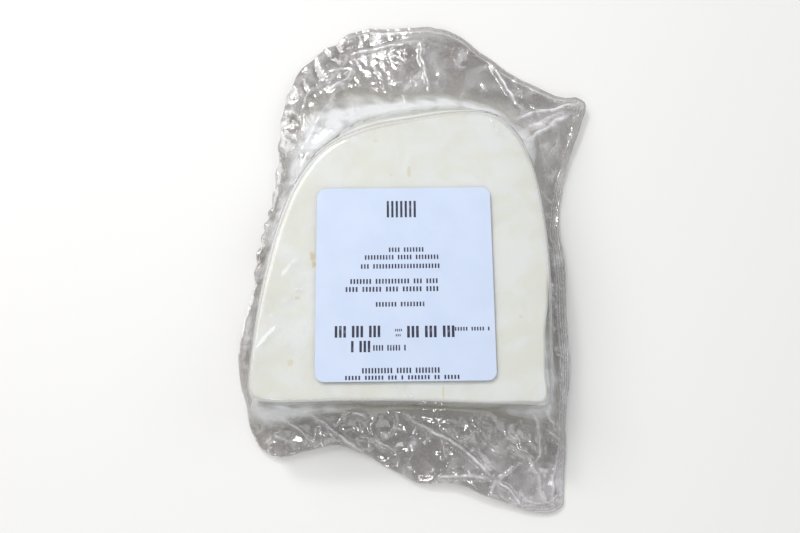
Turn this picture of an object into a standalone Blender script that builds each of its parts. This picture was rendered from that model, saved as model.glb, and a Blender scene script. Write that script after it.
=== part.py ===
"""A block of feta cheese sealed in a clear film bag, with a paper label stuck on top.

The block is an arch seen from above: one straight side, two nearly straight flanks and a rounded end.
Its top face has a soft edge, and its wall leans out on the way down, most of all at the rounded end.
The film lies tight over the block, leaves its wall part of the way down and spreads round it as a
crumpled skirt. The bag is one closed solid with the block inside it, and the label is a thin plate on it.

Axes: +X to the right of the label, +Y from the straight side to the rounded end, +Z up.
The origin is on the surface that the bag lies on, under the middle of its bounding box.
Bearings are degrees round the block, counter-clockwise from +X.
"""

import math

import bmesh
import bpy
import numpy as np

MM = 0.001

# The block of cheese. Outlines are in millimetres from the middle of the label.
BLOCK_HEIGHT = 28 * MM
BLOCK_MIDDLE = (0.0, 8.0)
BLOCK_OUTLINE = (
    (44.6, -38.9), (46.2, -37.4), (47.2, -18), (47.6, 4), (46.3, 24), (43.3, 40.5), (38.6, 51.5),
    (30.5, 58.8), (20, 60), (2, 57.5), (-15, 53.6), (-27, 47), (-36, 35.5), (-42, 20), (-46.2, 1),
    (-48.7, -20), (-49.2, -34.5), (-47.6, -37), (-41, -38.1), (-20, -37.7), (3, -37.8), (36, -38.8),
)
# How round the top face's edge is: (bearing, radius in millimetres). The straight side is cut sharp.
EDGE_RADIUS = (
    (0, 1.6), (60, 2.0), (120, 2.6), (180, 2.6), (222, 1.6), (245, 0.9), (300, 0.9), (330, 1.4),
)
# How far the wall's foot stands out past the top face's edge: (bearing, millimetres).
WALL_LEAN = (
    (0, 2), (36, 2.5), (58, 12), (80, 17), (105, 17), (125, 12), (145, 6), (180, 2.5),
    (225, 2), (270, 1), (315, 2),
)

# The bag. Its outline is where the two films are sealed together.
BAG_OUTLINE = (
    (53.8, -66), (55, -56), (55.4, -42), (57.4, -28), (57.8, -10), (57.7, 8), (56.5, 25), (58, 38),
    (61.8, 53), (66.2, 65), (68.3, 73), (66, 76), (60, 76), (52, 80), (40.5, 87.5), (29, 96.5),
    (20, 102.7), (11, 105.3), (-4, 105), (-17, 105.3), (-30, 97.5), (-40, 87), (-45.5, 71), (-47, 54),
    (-49, 35), (-53.5, 14), (-55, -1), (-57.3, -14), (-57.5, -28), (-54.8, -38), (-53, -46), (-49, -53),
    (-43, -55.7), (-32, -53.2), (-22, -51.8), (-4, -59.8), (5, -64), (17, -64.2), (27, -68), (36, -71),
    (44, -73.6), (51, -73), (53.5, -71),
)
SEAL_THICKNESS = 0.8 * MM
SEAL_LIFT = 2.6 * MM
SEAL_WAVE = 1.3 * MM
SEAL_WAVES = 9
SEAL_WAVE_START = 0.7
# The underside lifts off the surface just outside the block's foot, and then turns up towards the seal.
UNDERSIDE_GAP = 0.7 * MM
UNDERSIDE_RISE = 3
FOOT_INSET = 1.7 * MM
# Height at which the film leaves the wall, and how taut it is from there: 1 is a straight line to the
# seal, 3 hangs close to the wall. (bearing, millimetres, tautness)
FILM_LEAVES = (
    (0, 9, 2.6), (20, 11, 2.2), (34, 18, 1.7), (43, 24, 1.2), (52, 16, 1.8), (66, 9, 2.4), (90, 8, 2.6),
    (120, 9, 2.6), (150, 11, 2.3), (180, 9, 2.6), (212, 12, 2.0), (224, 16, 1.6), (240, 10, 2.6),
    (270, 7, 3.0), (300, 9, 2.6), (316, 18, 1.5), (330, 10, 2.4),
)

# The puckers of the gathered seal, from the rounded end down the left flank.
PUCKER_BEARINGS = (97, 192)
PUCKER_COUNT = 15
PUCKER_HEIGHT = 1.5 * MM
PUCKER_SCALLOP = 0.9 * MM
PUCKER_REACH = 9 * MM
PUCKER_FADE = 1 / 8
PUCKER_DRIFT = 0.012
PUCKER_DRIFT_TURNS = 3

# Folds that stand up from the skirt: two ends in millimetres, then height and half width.
FOLDS = (
    ((13, 102), (8, 88), 1.5, 4), ((8, 88), (6, 74), 1.6, 4), ((37, 90), (42, 66), 1.8, 4),
    ((-30, 95), (-22, 80), 1.3, 4), ((-22, 82), (-33, 68), 1.8, 4.5), ((-33, 68), (-40, 48), 1.6, 4.5),
    ((-4, -38), (12, -46), 2.0, 4), ((12, -46), (30, -62), 2.0, 4), ((-36, -38), (-14, -51), 1.8, 4),
    ((-41, -40), (-24, -51), 1.5, 3.5), ((30, -62), (43, -55), 1.5, 3.5), ((5, -62), (30, -62), 1.4, 3.5),
    ((32, -40), (51, -54), 1.8, 4), ((44, -39), (46, -58), 1.5, 4), ((56, -30), (51, -68), 1.2, 3),
)

# They reach their full height past this share of the skirt, counted from the wall.
FOLD_START = 1 / 4

# The label, a standard scale label of 2 1/4 by 2 1/2 inches.
LABEL_WIDTH = 57.15 * MM
LABEL_LENGTH = 63.5 * MM
LABEL_THICKNESS = 0.3 * MM
LABEL_CORNER = 3 * MM
LABEL_CORNER_STEPS = 6
LABEL_TURN = math.radians(0.6)
LABEL_GAP = 0.3 * MM

# How finely the bag is divided: round it, and along the parts of its section.
SPOKES = 176
TOP_STEPS = (0.35, 0.7, 1.0)
EDGE_ANGLES = (30, 60, 90)
WALL_STEPS = (0.25, 0.5, 0.75, 1.0)
SKIRT_STEPS = (0.1, 0.2, 0.31, 0.43, 0.55, 0.67, 0.79, 0.9, 1.0)
UNDER_STEPS = (1.0, 0.84, 0.66, 0.45, 0.2, 0.0)
CURVE_STEPS = 24
BEARING_STEPS = 4000

FILM_COLOUR = (0.83, 0.83, 0.78, 1)
PAPER_COLOUR = (0.8, 0.85, 0.95, 1)


def clear_scene():
    for old in list(bpy.data.objects):
        bpy.data.objects.remove(old)


def closed_curve(corners):
    """Points of a smooth closed curve through the corners: a centripetal Catmull-Rom curve, in metres."""
    corner = np.array(corners, float) * MM
    points = []
    for i in range(len(corner)):
        a, b, c, d = (corner[(i + k) % len(corner)] for k in (-1, 0, 1, 2))
        gaps = [math.sqrt(np.linalg.norm(end - start)) for start, end in ((a, b), (b, c), (c, d))]
        ta, tb, tc, td = np.cumsum([0.0] + gaps)
        for t in np.linspace(tb, tc, CURVE_STEPS, endpoint=False):
            ab = a + (b - a) * (t - ta) / (tb - ta)
            bc = b + (c - b) * (t - tb) / (tc - tb)
            cd = c + (d - c) * (t - tc) / (td - tc)
            abc = ab + (bc - ab) * (t - ta) / (tc - ta)
            bcd = bc + (cd - bc) * (t - tb) / (td - tb)
            points.append(abc + (bcd - abc) * (t - tb) / (tc - tb))
    return np.array(points)


def radius_at(outline, bearing):
    """Distance from the block's middle to the outline, in the direction of each bearing (radians)."""
    arm = closed_curve(outline) - np.array(BLOCK_MIDDLE) * MM
    around = np.arctan2(arm[:, 1], arm[:, 0])
    order = np.argsort(around)
    return np.interp(bearing, around[order], np.hypot(arm[order, 0], arm[order, 1]), period=2 * math.pi)


def by_bearing(table, column, bearing):
    """A value from a table of rows that start with a bearing in degrees, read smoothly at each bearing."""
    rows = sorted(table)
    stops = np.array([row[0] for row in rows] + [rows[0][0] + 360], float)
    values = np.array([row[column] for row in rows] + [rows[0][column]], float)
    degrees = np.degrees(bearing) % 360
    left = np.clip(np.searchsorted(stops, degrees, side="right") - 1, 0, len(rows) - 1)
    share = (degrees - stops[left]) / (stops[left + 1] - stops[left])
    share = share * share * (3 - 2 * share)
    return values[left] + (values[left + 1] - values[left]) * share


def spoke_bearings():
    """Bearings of the spokes, closer together where either outline turns away from the middle."""
    fine = np.linspace(-math.pi, math.pi, BEARING_STEPS + 1)
    travelled = np.zeros(len(fine))
    for outline in (BLOCK_OUTLINE, BAG_OUTLINE):
        radius = radius_at(outline, fine)
        x, y = radius * np.cos(fine), radius * np.sin(fine)
        travelled[1:] += np.cumsum(np.hypot(np.diff(x), np.diff(y)))
    return np.interp(np.arange(SPOKES) / SPOKES * travelled[-1], travelled, fine)


def smooth_step(share):
    share = np.clip(share, 0, 1)
    return share * share * (3 - 2 * share)


def wall_radius(block, bearing, z):
    """The wall's distance from the middle at height z: it leans out evenly on the way down."""
    return block + by_bearing(WALL_LEAN, 1, bearing) * MM * (1 - z / BLOCK_HEIGHT)


def pucker(bearing, share):
    """Height of the seal's puckers, and how far they pull its outline in, on the share of skirt crossed."""
    low, high = (math.radians(b) for b in PUCKER_BEARINGS)
    along = (bearing % (2 * math.pi) - low) / (high - low)
    inside = smooth_step(along / PUCKER_FADE) * smooth_step((1 - along) / PUCKER_FADE)
    drift = PUCKER_DRIFT * np.sin(2 * math.pi * PUCKER_DRIFT_TURNS * along)
    wave = np.cos(2 * math.pi * PUCKER_COUNT * (along + drift))
    return inside * (1 + wave) / 2 * PUCKER_HEIGHT * share ** 2, inside * (1 - wave) / 2 * PUCKER_SCALLOP


def fold_height(x, y):
    """Height of the folds at a point: each is a ridge along a straight line, tapered at both ends."""
    height = np.zeros(np.shape(x))
    for start, end, top, half_width in FOLDS:
        a, b = np.array(start) * MM, np.array(end) * MM
        along = ((x - a[0]) * (b[0] - a[0]) + (y - a[1]) * (b[1] - a[1])) / ((b - a) @ (b - a))
        near = np.clip(along, 0, 1)
        away = np.hypot(x - a[0] - near * (b[0] - a[0]), y - a[1] - near * (b[1] - a[1]))
        height = np.maximum(height, top * MM * np.clip(1 - away / (half_width * MM), 0, 1))
    return height


def bag_rings():
    """The bag's section along every spoke, as rings of points from the top face out and back underneath."""
    bearing = spoke_bearings()
    block = radius_at(BLOCK_OUTLINE, bearing)
    seal = radius_at(BAG_OUTLINE, bearing) - pucker(bearing, 1.0)[1]
    leaves = by_bearing(FILM_LEAVES, 1, bearing) * MM
    taut = by_bearing(FILM_LEAVES, 2, bearing)
    seal_height = SEAL_LIFT + SEAL_WAVE * np.sin(SEAL_WAVES * bearing + SEAL_WAVE_START)
    edge = by_bearing(EDGE_RADIUS, 1, bearing) * MM
    sections = [((block - edge) * step, np.full(SPOKES, BLOCK_HEIGHT)) for step in TOP_STEPS]
    for angle in (math.radians(a) for a in EDGE_ANGLES):
        rounded = BLOCK_HEIGHT - edge + edge * math.cos(angle)
        sections.append((block - edge + edge * math.sin(angle), rounded))
    for step in WALL_STEPS:
        z = BLOCK_HEIGHT - edge - (BLOCK_HEIGHT - edge - leaves) * step
        sections.append((wall_radius(block, bearing, z), z))
    foot = wall_radius(block, bearing, leaves)
    base = wall_radius(block, bearing, 0.0) - FOOT_INSET

    def skirt(share):
        radius = foot + (seal - foot) * share
        x = BLOCK_MIDDLE[0] * MM + radius * np.cos(bearing)
        y = BLOCK_MIDDLE[1] * MM + radius * np.sin(bearing)
        hang = seal_height + (leaves - seal_height) * (1 - share) ** taut
        near_seal = np.clip(1 - (seal - radius) / PUCKER_REACH, 0, 1)
        rise = fold_height(x, y) * smooth_step(share / FOLD_START) + pucker(bearing, near_seal)[0]
        return radius, hang + rise

    top = [skirt(share) for share in SKIRT_STEPS]
    sections += top
    for share in UNDER_STEPS:
        radius = base + (seal - base) * share
        lowest = UNDERSIDE_GAP * smooth_step(share * UNDERSIDE_RISE)
        z = lowest + (top[-1][1] - SEAL_THICKNESS - lowest) * share ** UNDERSIDE_RISE
        sections.append((radius, z))
    return [
        np.column_stack((
            BLOCK_MIDDLE[0] * MM + radius * np.cos(bearing),
            BLOCK_MIDDLE[1] * MM + radius * np.sin(bearing),
            z,
        ))
        for radius, z in sections
    ]


def skin_of(rings):
    """A closed mesh over the rings, with one flat face on the first ring and one under the last."""
    mesh = bmesh.new()
    loops = [[mesh.verts.new(point) for point in ring] for ring in rings]
    for inner, outer in zip(loops, loops[1:]):
        for i in range(SPOKES):
            j = (i + 1) % SPOKES
            mesh.faces.new((inner[i], outer[i], outer[j], inner[j]))
    mesh.faces.new(loops[0])
    mesh.faces.new(loops[-1][::-1])
    return mesh


def label_mesh():
    """A thin plate with round corners, extruded from its outline."""
    mesh = bmesh.new()
    corner = []
    for quarter, (sx, sy) in enumerate(((1, 1), (-1, 1), (-1, -1), (1, -1))):
        cx = sx * (LABEL_WIDTH / 2 - LABEL_CORNER)
        cy = sy * (LABEL_LENGTH / 2 - LABEL_CORNER)
        for step in range(LABEL_CORNER_STEPS + 1):
            turn = math.pi / 2 * (quarter + step / LABEL_CORNER_STEPS)
            at = (cx + LABEL_CORNER * math.cos(turn), cy + LABEL_CORNER * math.sin(turn), 0)
            corner.append(mesh.verts.new(at))
    face = mesh.faces.new(corner)
    raised = bmesh.ops.extrude_face_region(mesh, geom=[face])["geom"]
    for vertex in (part for part in raised if isinstance(part, bmesh.types.BMVert)):
        vertex.co.z += LABEL_THICKNESS
    bmesh.ops.recalc_face_normals(mesh, faces=mesh.faces)
    return mesh


def material(name, colour, roughness):
    made = bpy.data.materials.new(name)
    made.use_nodes = True
    shader = made.node_tree.nodes["Principled BSDF"]
    shader.inputs["Base Color"].default_value = colour
    shader.inputs["Roughness"].default_value = roughness
    shader.inputs["Metallic"].default_value = 0
    return made


def add_object(name, mesh, finish):
    data = bpy.data.meshes.new(name)
    mesh.to_mesh(data)
    mesh.free()
    data.materials.append(finish)
    made = bpy.data.objects.new(name, data)
    bpy.context.collection.objects.link(made)
    return made


def main():
    clear_scene()
    bag = add_object("bag", skin_of(bag_rings()), material("film", FILM_COLOUR, 0.25))
    bag.data.shade_smooth()
    bag.data.set_sharp_from_angle(angle=math.radians(50))
    label = add_object("label", label_mesh(), material("paper", PAPER_COLOUR, 0.6))
    label.rotation_euler.z = LABEL_TURN
    label.location.z = BLOCK_HEIGHT + LABEL_GAP
    corners = np.array([vertex.co for vertex in bag.data.vertices])
    middle = (corners.min(0) + corners.max(0)) / 2
    for made in (bag, label):
        made.location.x -= middle[0]
        made.location.y -= middle[1]


main()
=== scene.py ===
# %% [markdown]
# # A block of feta cheese in a sealed film bag
# The pack lies flat and is seen almost from above. From the inside out it is a block of moist
# white cheese, a little milky whey, a clear film bag that is much larger than the block, and a paper
# label. The CAD frame holds the bag as one closed solid and the label as a thin plate. This script
# keeps their places and replaces them with film, cheese, whey, paper and print.

import math

import bpy
import numpy as np
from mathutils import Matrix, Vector


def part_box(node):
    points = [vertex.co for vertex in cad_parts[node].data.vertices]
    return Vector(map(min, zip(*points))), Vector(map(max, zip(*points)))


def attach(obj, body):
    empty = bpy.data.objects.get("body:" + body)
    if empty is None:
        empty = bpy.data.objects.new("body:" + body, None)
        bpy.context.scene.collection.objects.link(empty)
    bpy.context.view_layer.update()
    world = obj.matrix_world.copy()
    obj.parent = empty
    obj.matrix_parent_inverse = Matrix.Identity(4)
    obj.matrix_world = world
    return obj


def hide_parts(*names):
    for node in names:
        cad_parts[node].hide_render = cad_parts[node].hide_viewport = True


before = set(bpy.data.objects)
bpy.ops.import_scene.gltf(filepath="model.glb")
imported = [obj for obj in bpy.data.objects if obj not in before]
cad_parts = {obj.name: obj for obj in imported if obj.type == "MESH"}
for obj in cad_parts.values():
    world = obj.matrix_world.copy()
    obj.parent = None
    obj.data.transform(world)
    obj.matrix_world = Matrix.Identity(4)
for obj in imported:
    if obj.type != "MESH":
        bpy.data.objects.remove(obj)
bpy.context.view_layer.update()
MM = 0.001


# %% [markdown]
# ## Where things are
# Sizes on a pack are easiest to think of in millimetres from the middle of the label, because the label
# is what the eye measures from. The frame is in metres, from the middle of the pack. The label's own
# node gives the step from one to the other, so every piece below is made in millimetres and then placed.

# %% Millimetres from the middle of the label
label_low, label_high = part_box("label")
LABEL_AT = np.array([(label_low.x + label_high.x) / 2, (label_low.y + label_high.y) / 2, 0]) / MM
print("the label's middle is at", LABEL_AT.round(2), "mm in the frame")


def in_frame(x, y, z):
    """A point given in millimetres from the label's middle, in the frame's metres."""
    return Vector(((x + LABEL_AT[0]) * MM, (y + LABEL_AT[1]) * MM, z * MM))


# %% [markdown]
# ## The camera
# The picture was taken by hand from nearly straight above. The label's four corners fit a lens of
# 34 mm that looks down from about 27 cm and tilts 13 degrees away from straight down. The camera comes
# first, so that every later step can be looked at from there.

# %% Camera
CAMERA_PLACE = (-1.5, -49.5, 268.4)
CAMERA_TILT = math.radians(12.82)
CAMERA_LENS = 34.2
CAMERA_SENSOR = 36
CAMERA_NEAREST = 0.01


def add_object(name, data):
    """A new object in the scene."""
    made = bpy.data.objects.new(name, data)
    bpy.context.scene.collection.objects.link(made)
    return made


camera = add_object("camera", bpy.data.cameras.new("camera"))
camera.data.lens = CAMERA_LENS
camera.data.sensor_width = CAMERA_SENSOR
camera.data.clip_start = CAMERA_NEAREST
camera.location = in_frame(*CAMERA_PLACE)
camera.rotation_euler = (CAMERA_TILT, 0, 0)
bpy.context.scene.camera = camera
print("camera at", [round(c, 4) for c in camera.location])

# %% [markdown]
# ## The outlines
# The block is an arch: a straight side, two nearly straight flanks and a rounded end. The bag is a loose
# shape round it. Both are drawn as a few corners with a smooth closed curve through them. A centripetal
# Catmull-Rom curve is used, because it passes through its corners and does not overshoot at tight ones.

# %% Outlines in millimetres
BLOCK_HEIGHT = 28
BLOCK_MIDDLE = np.array((0.0, 8.0))
BLOCK_OUTLINE = (
    (44.6, -38.9), (46.2, -37.4), (47.2, -18), (47.6, 4), (46.3, 24), (43.3, 40.5), (38.6, 51.5),
    (30.5, 58.8), (20, 60), (2, 57.5), (-15, 53.6), (-27, 47), (-36, 35.5), (-42, 20), (-46.2, 1),
    (-48.7, -20), (-49.2, -34.5), (-47.6, -37), (-41, -38.1), (-20, -37.7), (3, -37.8), (36, -38.8),
)
BAG_OUTLINE = (
    (53.8, -66), (55, -56), (55.4, -42), (57.4, -28), (57.8, -10), (57.7, 8), (56.5, 25), (58, 38),
    (61.8, 53), (66.2, 65), (68.3, 73), (66, 76), (60, 76), (52, 80), (40.5, 87.5), (29, 96.5),
    (20, 102.7), (11, 105.3), (-4, 105), (-17, 105.3), (-30, 97.5), (-40, 87), (-45.5, 71), (-47, 54),
    (-49, 35), (-53.5, 14), (-55, -1), (-57.3, -14), (-57.5, -28), (-54.8, -38), (-53, -46), (-49, -53),
    (-43, -55.7), (-32, -53.2), (-22, -51.8), (-4, -59.8), (5, -64), (17, -64.2), (27, -68), (36, -71),
    (44, -73.6), (51, -73), (53.5, -71),
)
CURVE_STEPS = 24


def closed_curve(corners):
    """Points of a smooth closed curve through the corners."""
    corner = np.array(corners, float)
    points = []
    for i in range(len(corner)):
        a, b, c, d = (corner[(i + k) % len(corner)] for k in (-1, 0, 1, 2))
        gaps = [math.sqrt(np.linalg.norm(end - start)) for start, end in ((a, b), (b, c), (c, d))]
        ta, tb, tc, td = np.cumsum([0.0] + gaps)
        for t in np.linspace(tb, tc, CURVE_STEPS, endpoint=False):
            ab = a + (b - a) * (t - ta) / (tb - ta)
            bc = b + (c - b) * (t - tb) / (tc - tb)
            cd = c + (d - c) * (t - tc) / (td - tc)
            abc = ab + (bc - ab) * (t - ta) / (tc - ta)
            bcd = bc + (cd - bc) * (t - tb) / (td - tb)
            points.append(abc + (bcd - abc) * (t - tb) / (tc - tb))
    return np.array(points)


def radius_at(outline, bearing):
    """Distance from the block's middle to the outline in the direction of each bearing, in radians."""
    arm = closed_curve(outline) - BLOCK_MIDDLE
    around = np.arctan2(arm[:, 1], arm[:, 0])
    order = np.argsort(around)
    return np.interp(bearing, around[order], np.hypot(arm[order, 0], arm[order, 1]), period=2 * math.pi)


print("the block's outline has", len(closed_curve(BLOCK_OUTLINE)), "points")

# %% [markdown]
# ## Spokes
# Film, cheese and whey all run round the block, so all three are built on spokes: lines that leave the
# block's middle at a bearing, with rings of points along them. Evenly spaced bearings would be too far
# apart where an outline runs away from the middle, so they are spaced by the distance travelled along
# both outlines.

# %% Spokes and values by bearing
BEARING_STEPS = 4000


def smooth_step(share):
    """0 up to 0, 1 from 1 on, and a soft rise between."""
    share = np.clip(share, 0, 1)
    return share * share * (3 - 2 * share)


def spoke_bearings(spokes):
    """Bearings of the spokes, closer together where either outline turns away from the middle."""
    fine = np.linspace(-math.pi, math.pi, BEARING_STEPS + 1)
    travelled = np.zeros(len(fine))
    for outline in (BLOCK_OUTLINE, BAG_OUTLINE):
        radius = radius_at(outline, fine)
        x, y = radius * np.cos(fine), radius * np.sin(fine)
        travelled[1:] += np.cumsum(np.hypot(np.diff(x), np.diff(y)))
    return np.interp(np.arange(spokes) / spokes * travelled[-1], travelled, fine)


def by_bearing(table, bearing, column=1):
    """A value from a table of rows that start with a bearing in degrees, read smoothly at each bearing."""
    rows = sorted(table)
    stops = np.array([row[0] for row in rows] + [rows[0][0] + 360], float)
    values = np.array([row[column] for row in rows] + [rows[0][column]], float)
    degrees = np.degrees(bearing) % 360
    left = np.clip(np.searchsorted(stops, degrees, side="right") - 1, 0, len(rows) - 1)
    share = smooth_step((degrees - stops[left]) / (stops[left + 1] - stops[left]))
    return values[left] + (values[left + 1] - values[left]) * share


print("three spokes of 640:", np.degrees(spoke_bearings(640)[:3]).round(2))

# %% [markdown]
# ## The section along a spoke
# From the middle outwards the film crosses the flat top, turns over a soft edge, follows the wall part of
# the way down, leaves it and runs to the seal. The tables say how far the wall leans out, where the film
# leaves it and how taut it is from there. They repeat the CAD's values, so the looks fit the solid. One
# more table says how far whey has spread between film and block.

# %% Wall, skirt and seal
WALL_LEAN = (
    (0, 2), (36, 2.5), (58, 12), (80, 17), (105, 17), (125, 12), (145, 6), (180, 2.5),
    (225, 2), (270, 1), (315, 2),
)
FILM_LEAVES = (
    (0, 9, 2.6), (20, 11, 2.2), (34, 18, 1.7), (43, 24, 1.2), (52, 16, 1.8), (66, 9, 2.4), (90, 8, 2.6),
    (120, 9, 2.6), (150, 11, 2.3), (180, 9, 2.6), (212, 12, 2.0), (224, 16, 1.6), (240, 10, 2.6),
    (270, 7, 3.0), (300, 9, 2.6), (316, 18, 1.5), (330, 10, 2.4),
)
# How round the top face's edge is: (bearing, radius). The straight side is cut sharp.
EDGE_RADIUS = (
    (0, 1.6), (60, 2.0), (120, 2.6), (180, 2.6), (222, 1.6), (245, 0.9), (300, 0.9), (330, 1.4),
)
# How far the whey reaches from the block's foot in millimetres, and how cloudy it is.
WHEY_REACH = (
    (0, 3, 0.3), (34, 3, 0.4), (46, 12, 1.7), (56, 7, 0.9), (66, 8, 1.4), (93, 9, 1.5), (106, 16, 1.4),
    (118, 20, 1.3), (135, 18, 1.5), (152, 14, 1.5), (168, 9, 1.3), (185, 5, 0.9), (210, 4, 0.7),
    (226, 12, 1.4), (243, 4, 0.7), (258, 1.5, 0), (300, 1.5, 0), (312, 7, 0.9), (322, 10, 1.7),
    (334, 6, 0.8), (345, 3, 0.3),
)
# The seal lies above the floor and rises and falls in waves round the pack.
SEAL_LIFT = 2.2
SEAL_WAVE, SEAL_WAVES, SEAL_WAVE_START = 1.3, 9, 0.7


def wall_radius(block, bearing, z):
    """The wall's distance from the middle at height z: it leans out evenly on the way down."""
    return block + by_bearing(WALL_LEAN, bearing) * (1 - z / BLOCK_HEIGHT)


def hanging(bearing, share):
    """The film's height between the place where it leaves the wall (0) and the seal (1)."""
    seal = SEAL_LIFT + SEAL_WAVE * np.sin(SEAL_WAVES * bearing + SEAL_WAVE_START)
    leaves, taut = by_bearing(FILM_LEAVES, bearing), by_bearing(FILM_LEAVES, bearing, 2)
    return seal + (leaves - seal) * (1 - share) ** taut


def at_spoke(radius, bearing):
    """The x and y of points at a distance along their spokes."""
    return BLOCK_MIDDLE[0] + radius * np.cos(bearing), BLOCK_MIDDLE[1] + radius * np.sin(bearing)


def shares(count, crowding=1):
    """Shares of the way for a number of rings, the last of them 1. Above 1, crowding brings them closer
    together towards the end."""
    return 1 - (1 - np.linspace(0, 1, count + 1)[1:]) ** crowding


def edge_turn(block, edge, top, rings):
    """The angle, radius and height of rings that turn from the top face over its edge to the wall."""
    for angle in math.pi / 2 * shares(rings):
        yield angle, block - edge * (1 - math.sin(angle)), top - edge * (1 - math.cos(angle))


# %% [markdown]
# ## How film crumples
# Crumpled film is not wavy: it is smooth bowls that meet in sharp ridges, because film bends easily but
# hardly stretches. Scattered points give that shape. The distance to the nearest one is small inside a
# bowl and has a sharp crest where two bowls meet. Where film was crushed and pulled open again it keeps
# flat facets with creases between them. Both come from seeded draws, so the film is the same on each run.
# Stretched cells give pleats and round ones give crinkles.

# %% Bowls, facets, crushed film and slow sways
SCATTER = 64
# Scattered points keep this far from the edge of their cell, as a share of its size.
SCATTER_MARGIN = 0.06
# A grid of squares becomes one of even triangles when it is sheared and squeezed by these.
TRIANGLE_SHEAR, TRIANGLE_SQUEEZE = 0.577, 1.155
# How fast each wave of a sway goes, and the height that they reach together.
SWAY_PACES = (1, 1.3, 1.7, 2.3, 3.1)
SWAY_REACH = 2.4
SWAY_STARTS = 7


def nearest_two(u, v, size, seed):
    """Distances to the nearest and the next nearest of the scattered points, in cells."""
    draw = np.random.default_rng(seed)
    table = draw.uniform(SCATTER_MARGIN, 1 - SCATTER_MARGIN, (SCATTER, SCATTER, 2))
    across, along = np.floor(u / size).astype(int), np.floor(v / size).astype(int)
    first, second = np.full(np.shape(u), np.inf), np.full(np.shape(u), np.inf)
    for i in range(-2, 3):
        for j in range(-2, 3):
            shift = table[(across + i) % SCATTER, (along + j) % SCATTER]
            away = np.hypot(across + i + shift[..., 0] - u / size, along + j + shift[..., 1] - v / size)
            second = np.minimum(second, np.maximum(first, away))
            first = np.minimum(first, away)
    return first, second


def bowls(u, v, size, seed):
    """0 in the middle of each bowl and about 1 on the sharp ridges between bowls."""
    return np.minimum(nearest_two(u, v, size, seed)[0], 1) ** 2


def facets(u, v, size, seed):
    """Low pyramids with nearly flat sides: 0 in the valleys between them."""
    first, second = nearest_two(u, v, size, seed)
    return np.minimum(second - first, 1)


def crushed(u, v, size, seed):
    """Flat three-sided facets between random heights from 0 to 1, with a sharp crease at every side."""
    level = np.random.default_rng(seed).uniform(0, 1, (SCATTER, SCATTER))
    across, along = (u + TRIANGLE_SHEAR * v) / size, TRIANGLE_SQUEEZE * v / size
    i, j = np.floor(across).astype(int), np.floor(along).astype(int)
    a, b = across - i, along - j
    i, j, i_next, j_next = i % SCATTER, j % SCATTER, (i + 1) % SCATTER, (j + 1) % SCATTER
    start, end = level[i, j], level[i_next, j_next]
    right, left = level[i_next, j], level[i, j_next]
    one_half = start + a * (right - start) + b * (end - right)
    other_half = start + b * (left - start) + a * (end - left)
    return np.where(a > b, one_half, other_half)


def sway(u, v, size, seed):
    """A slow smooth wander between -1 and 1, made of a few sine waves in random directions."""
    draw = np.random.default_rng(seed)
    total = np.zeros(np.shape(u))
    turns = draw.uniform(0, 2 * math.pi, len(SWAY_PACES))
    starts = draw.uniform(0, SWAY_STARTS, len(SWAY_PACES))
    for turn, start, pace in zip(turns, starts, SWAY_PACES):
        total += np.sin((u * math.cos(turn) + v * math.sin(turn)) * pace * 2 * math.pi / size + start) / pace
    return total / SWAY_REACH


sample = facets(*np.meshgrid(np.arange(60.0), np.arange(60.0)), 5, 1)
print("facets run from", sample.min().round(2), "to", sample.max().round(2))
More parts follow.
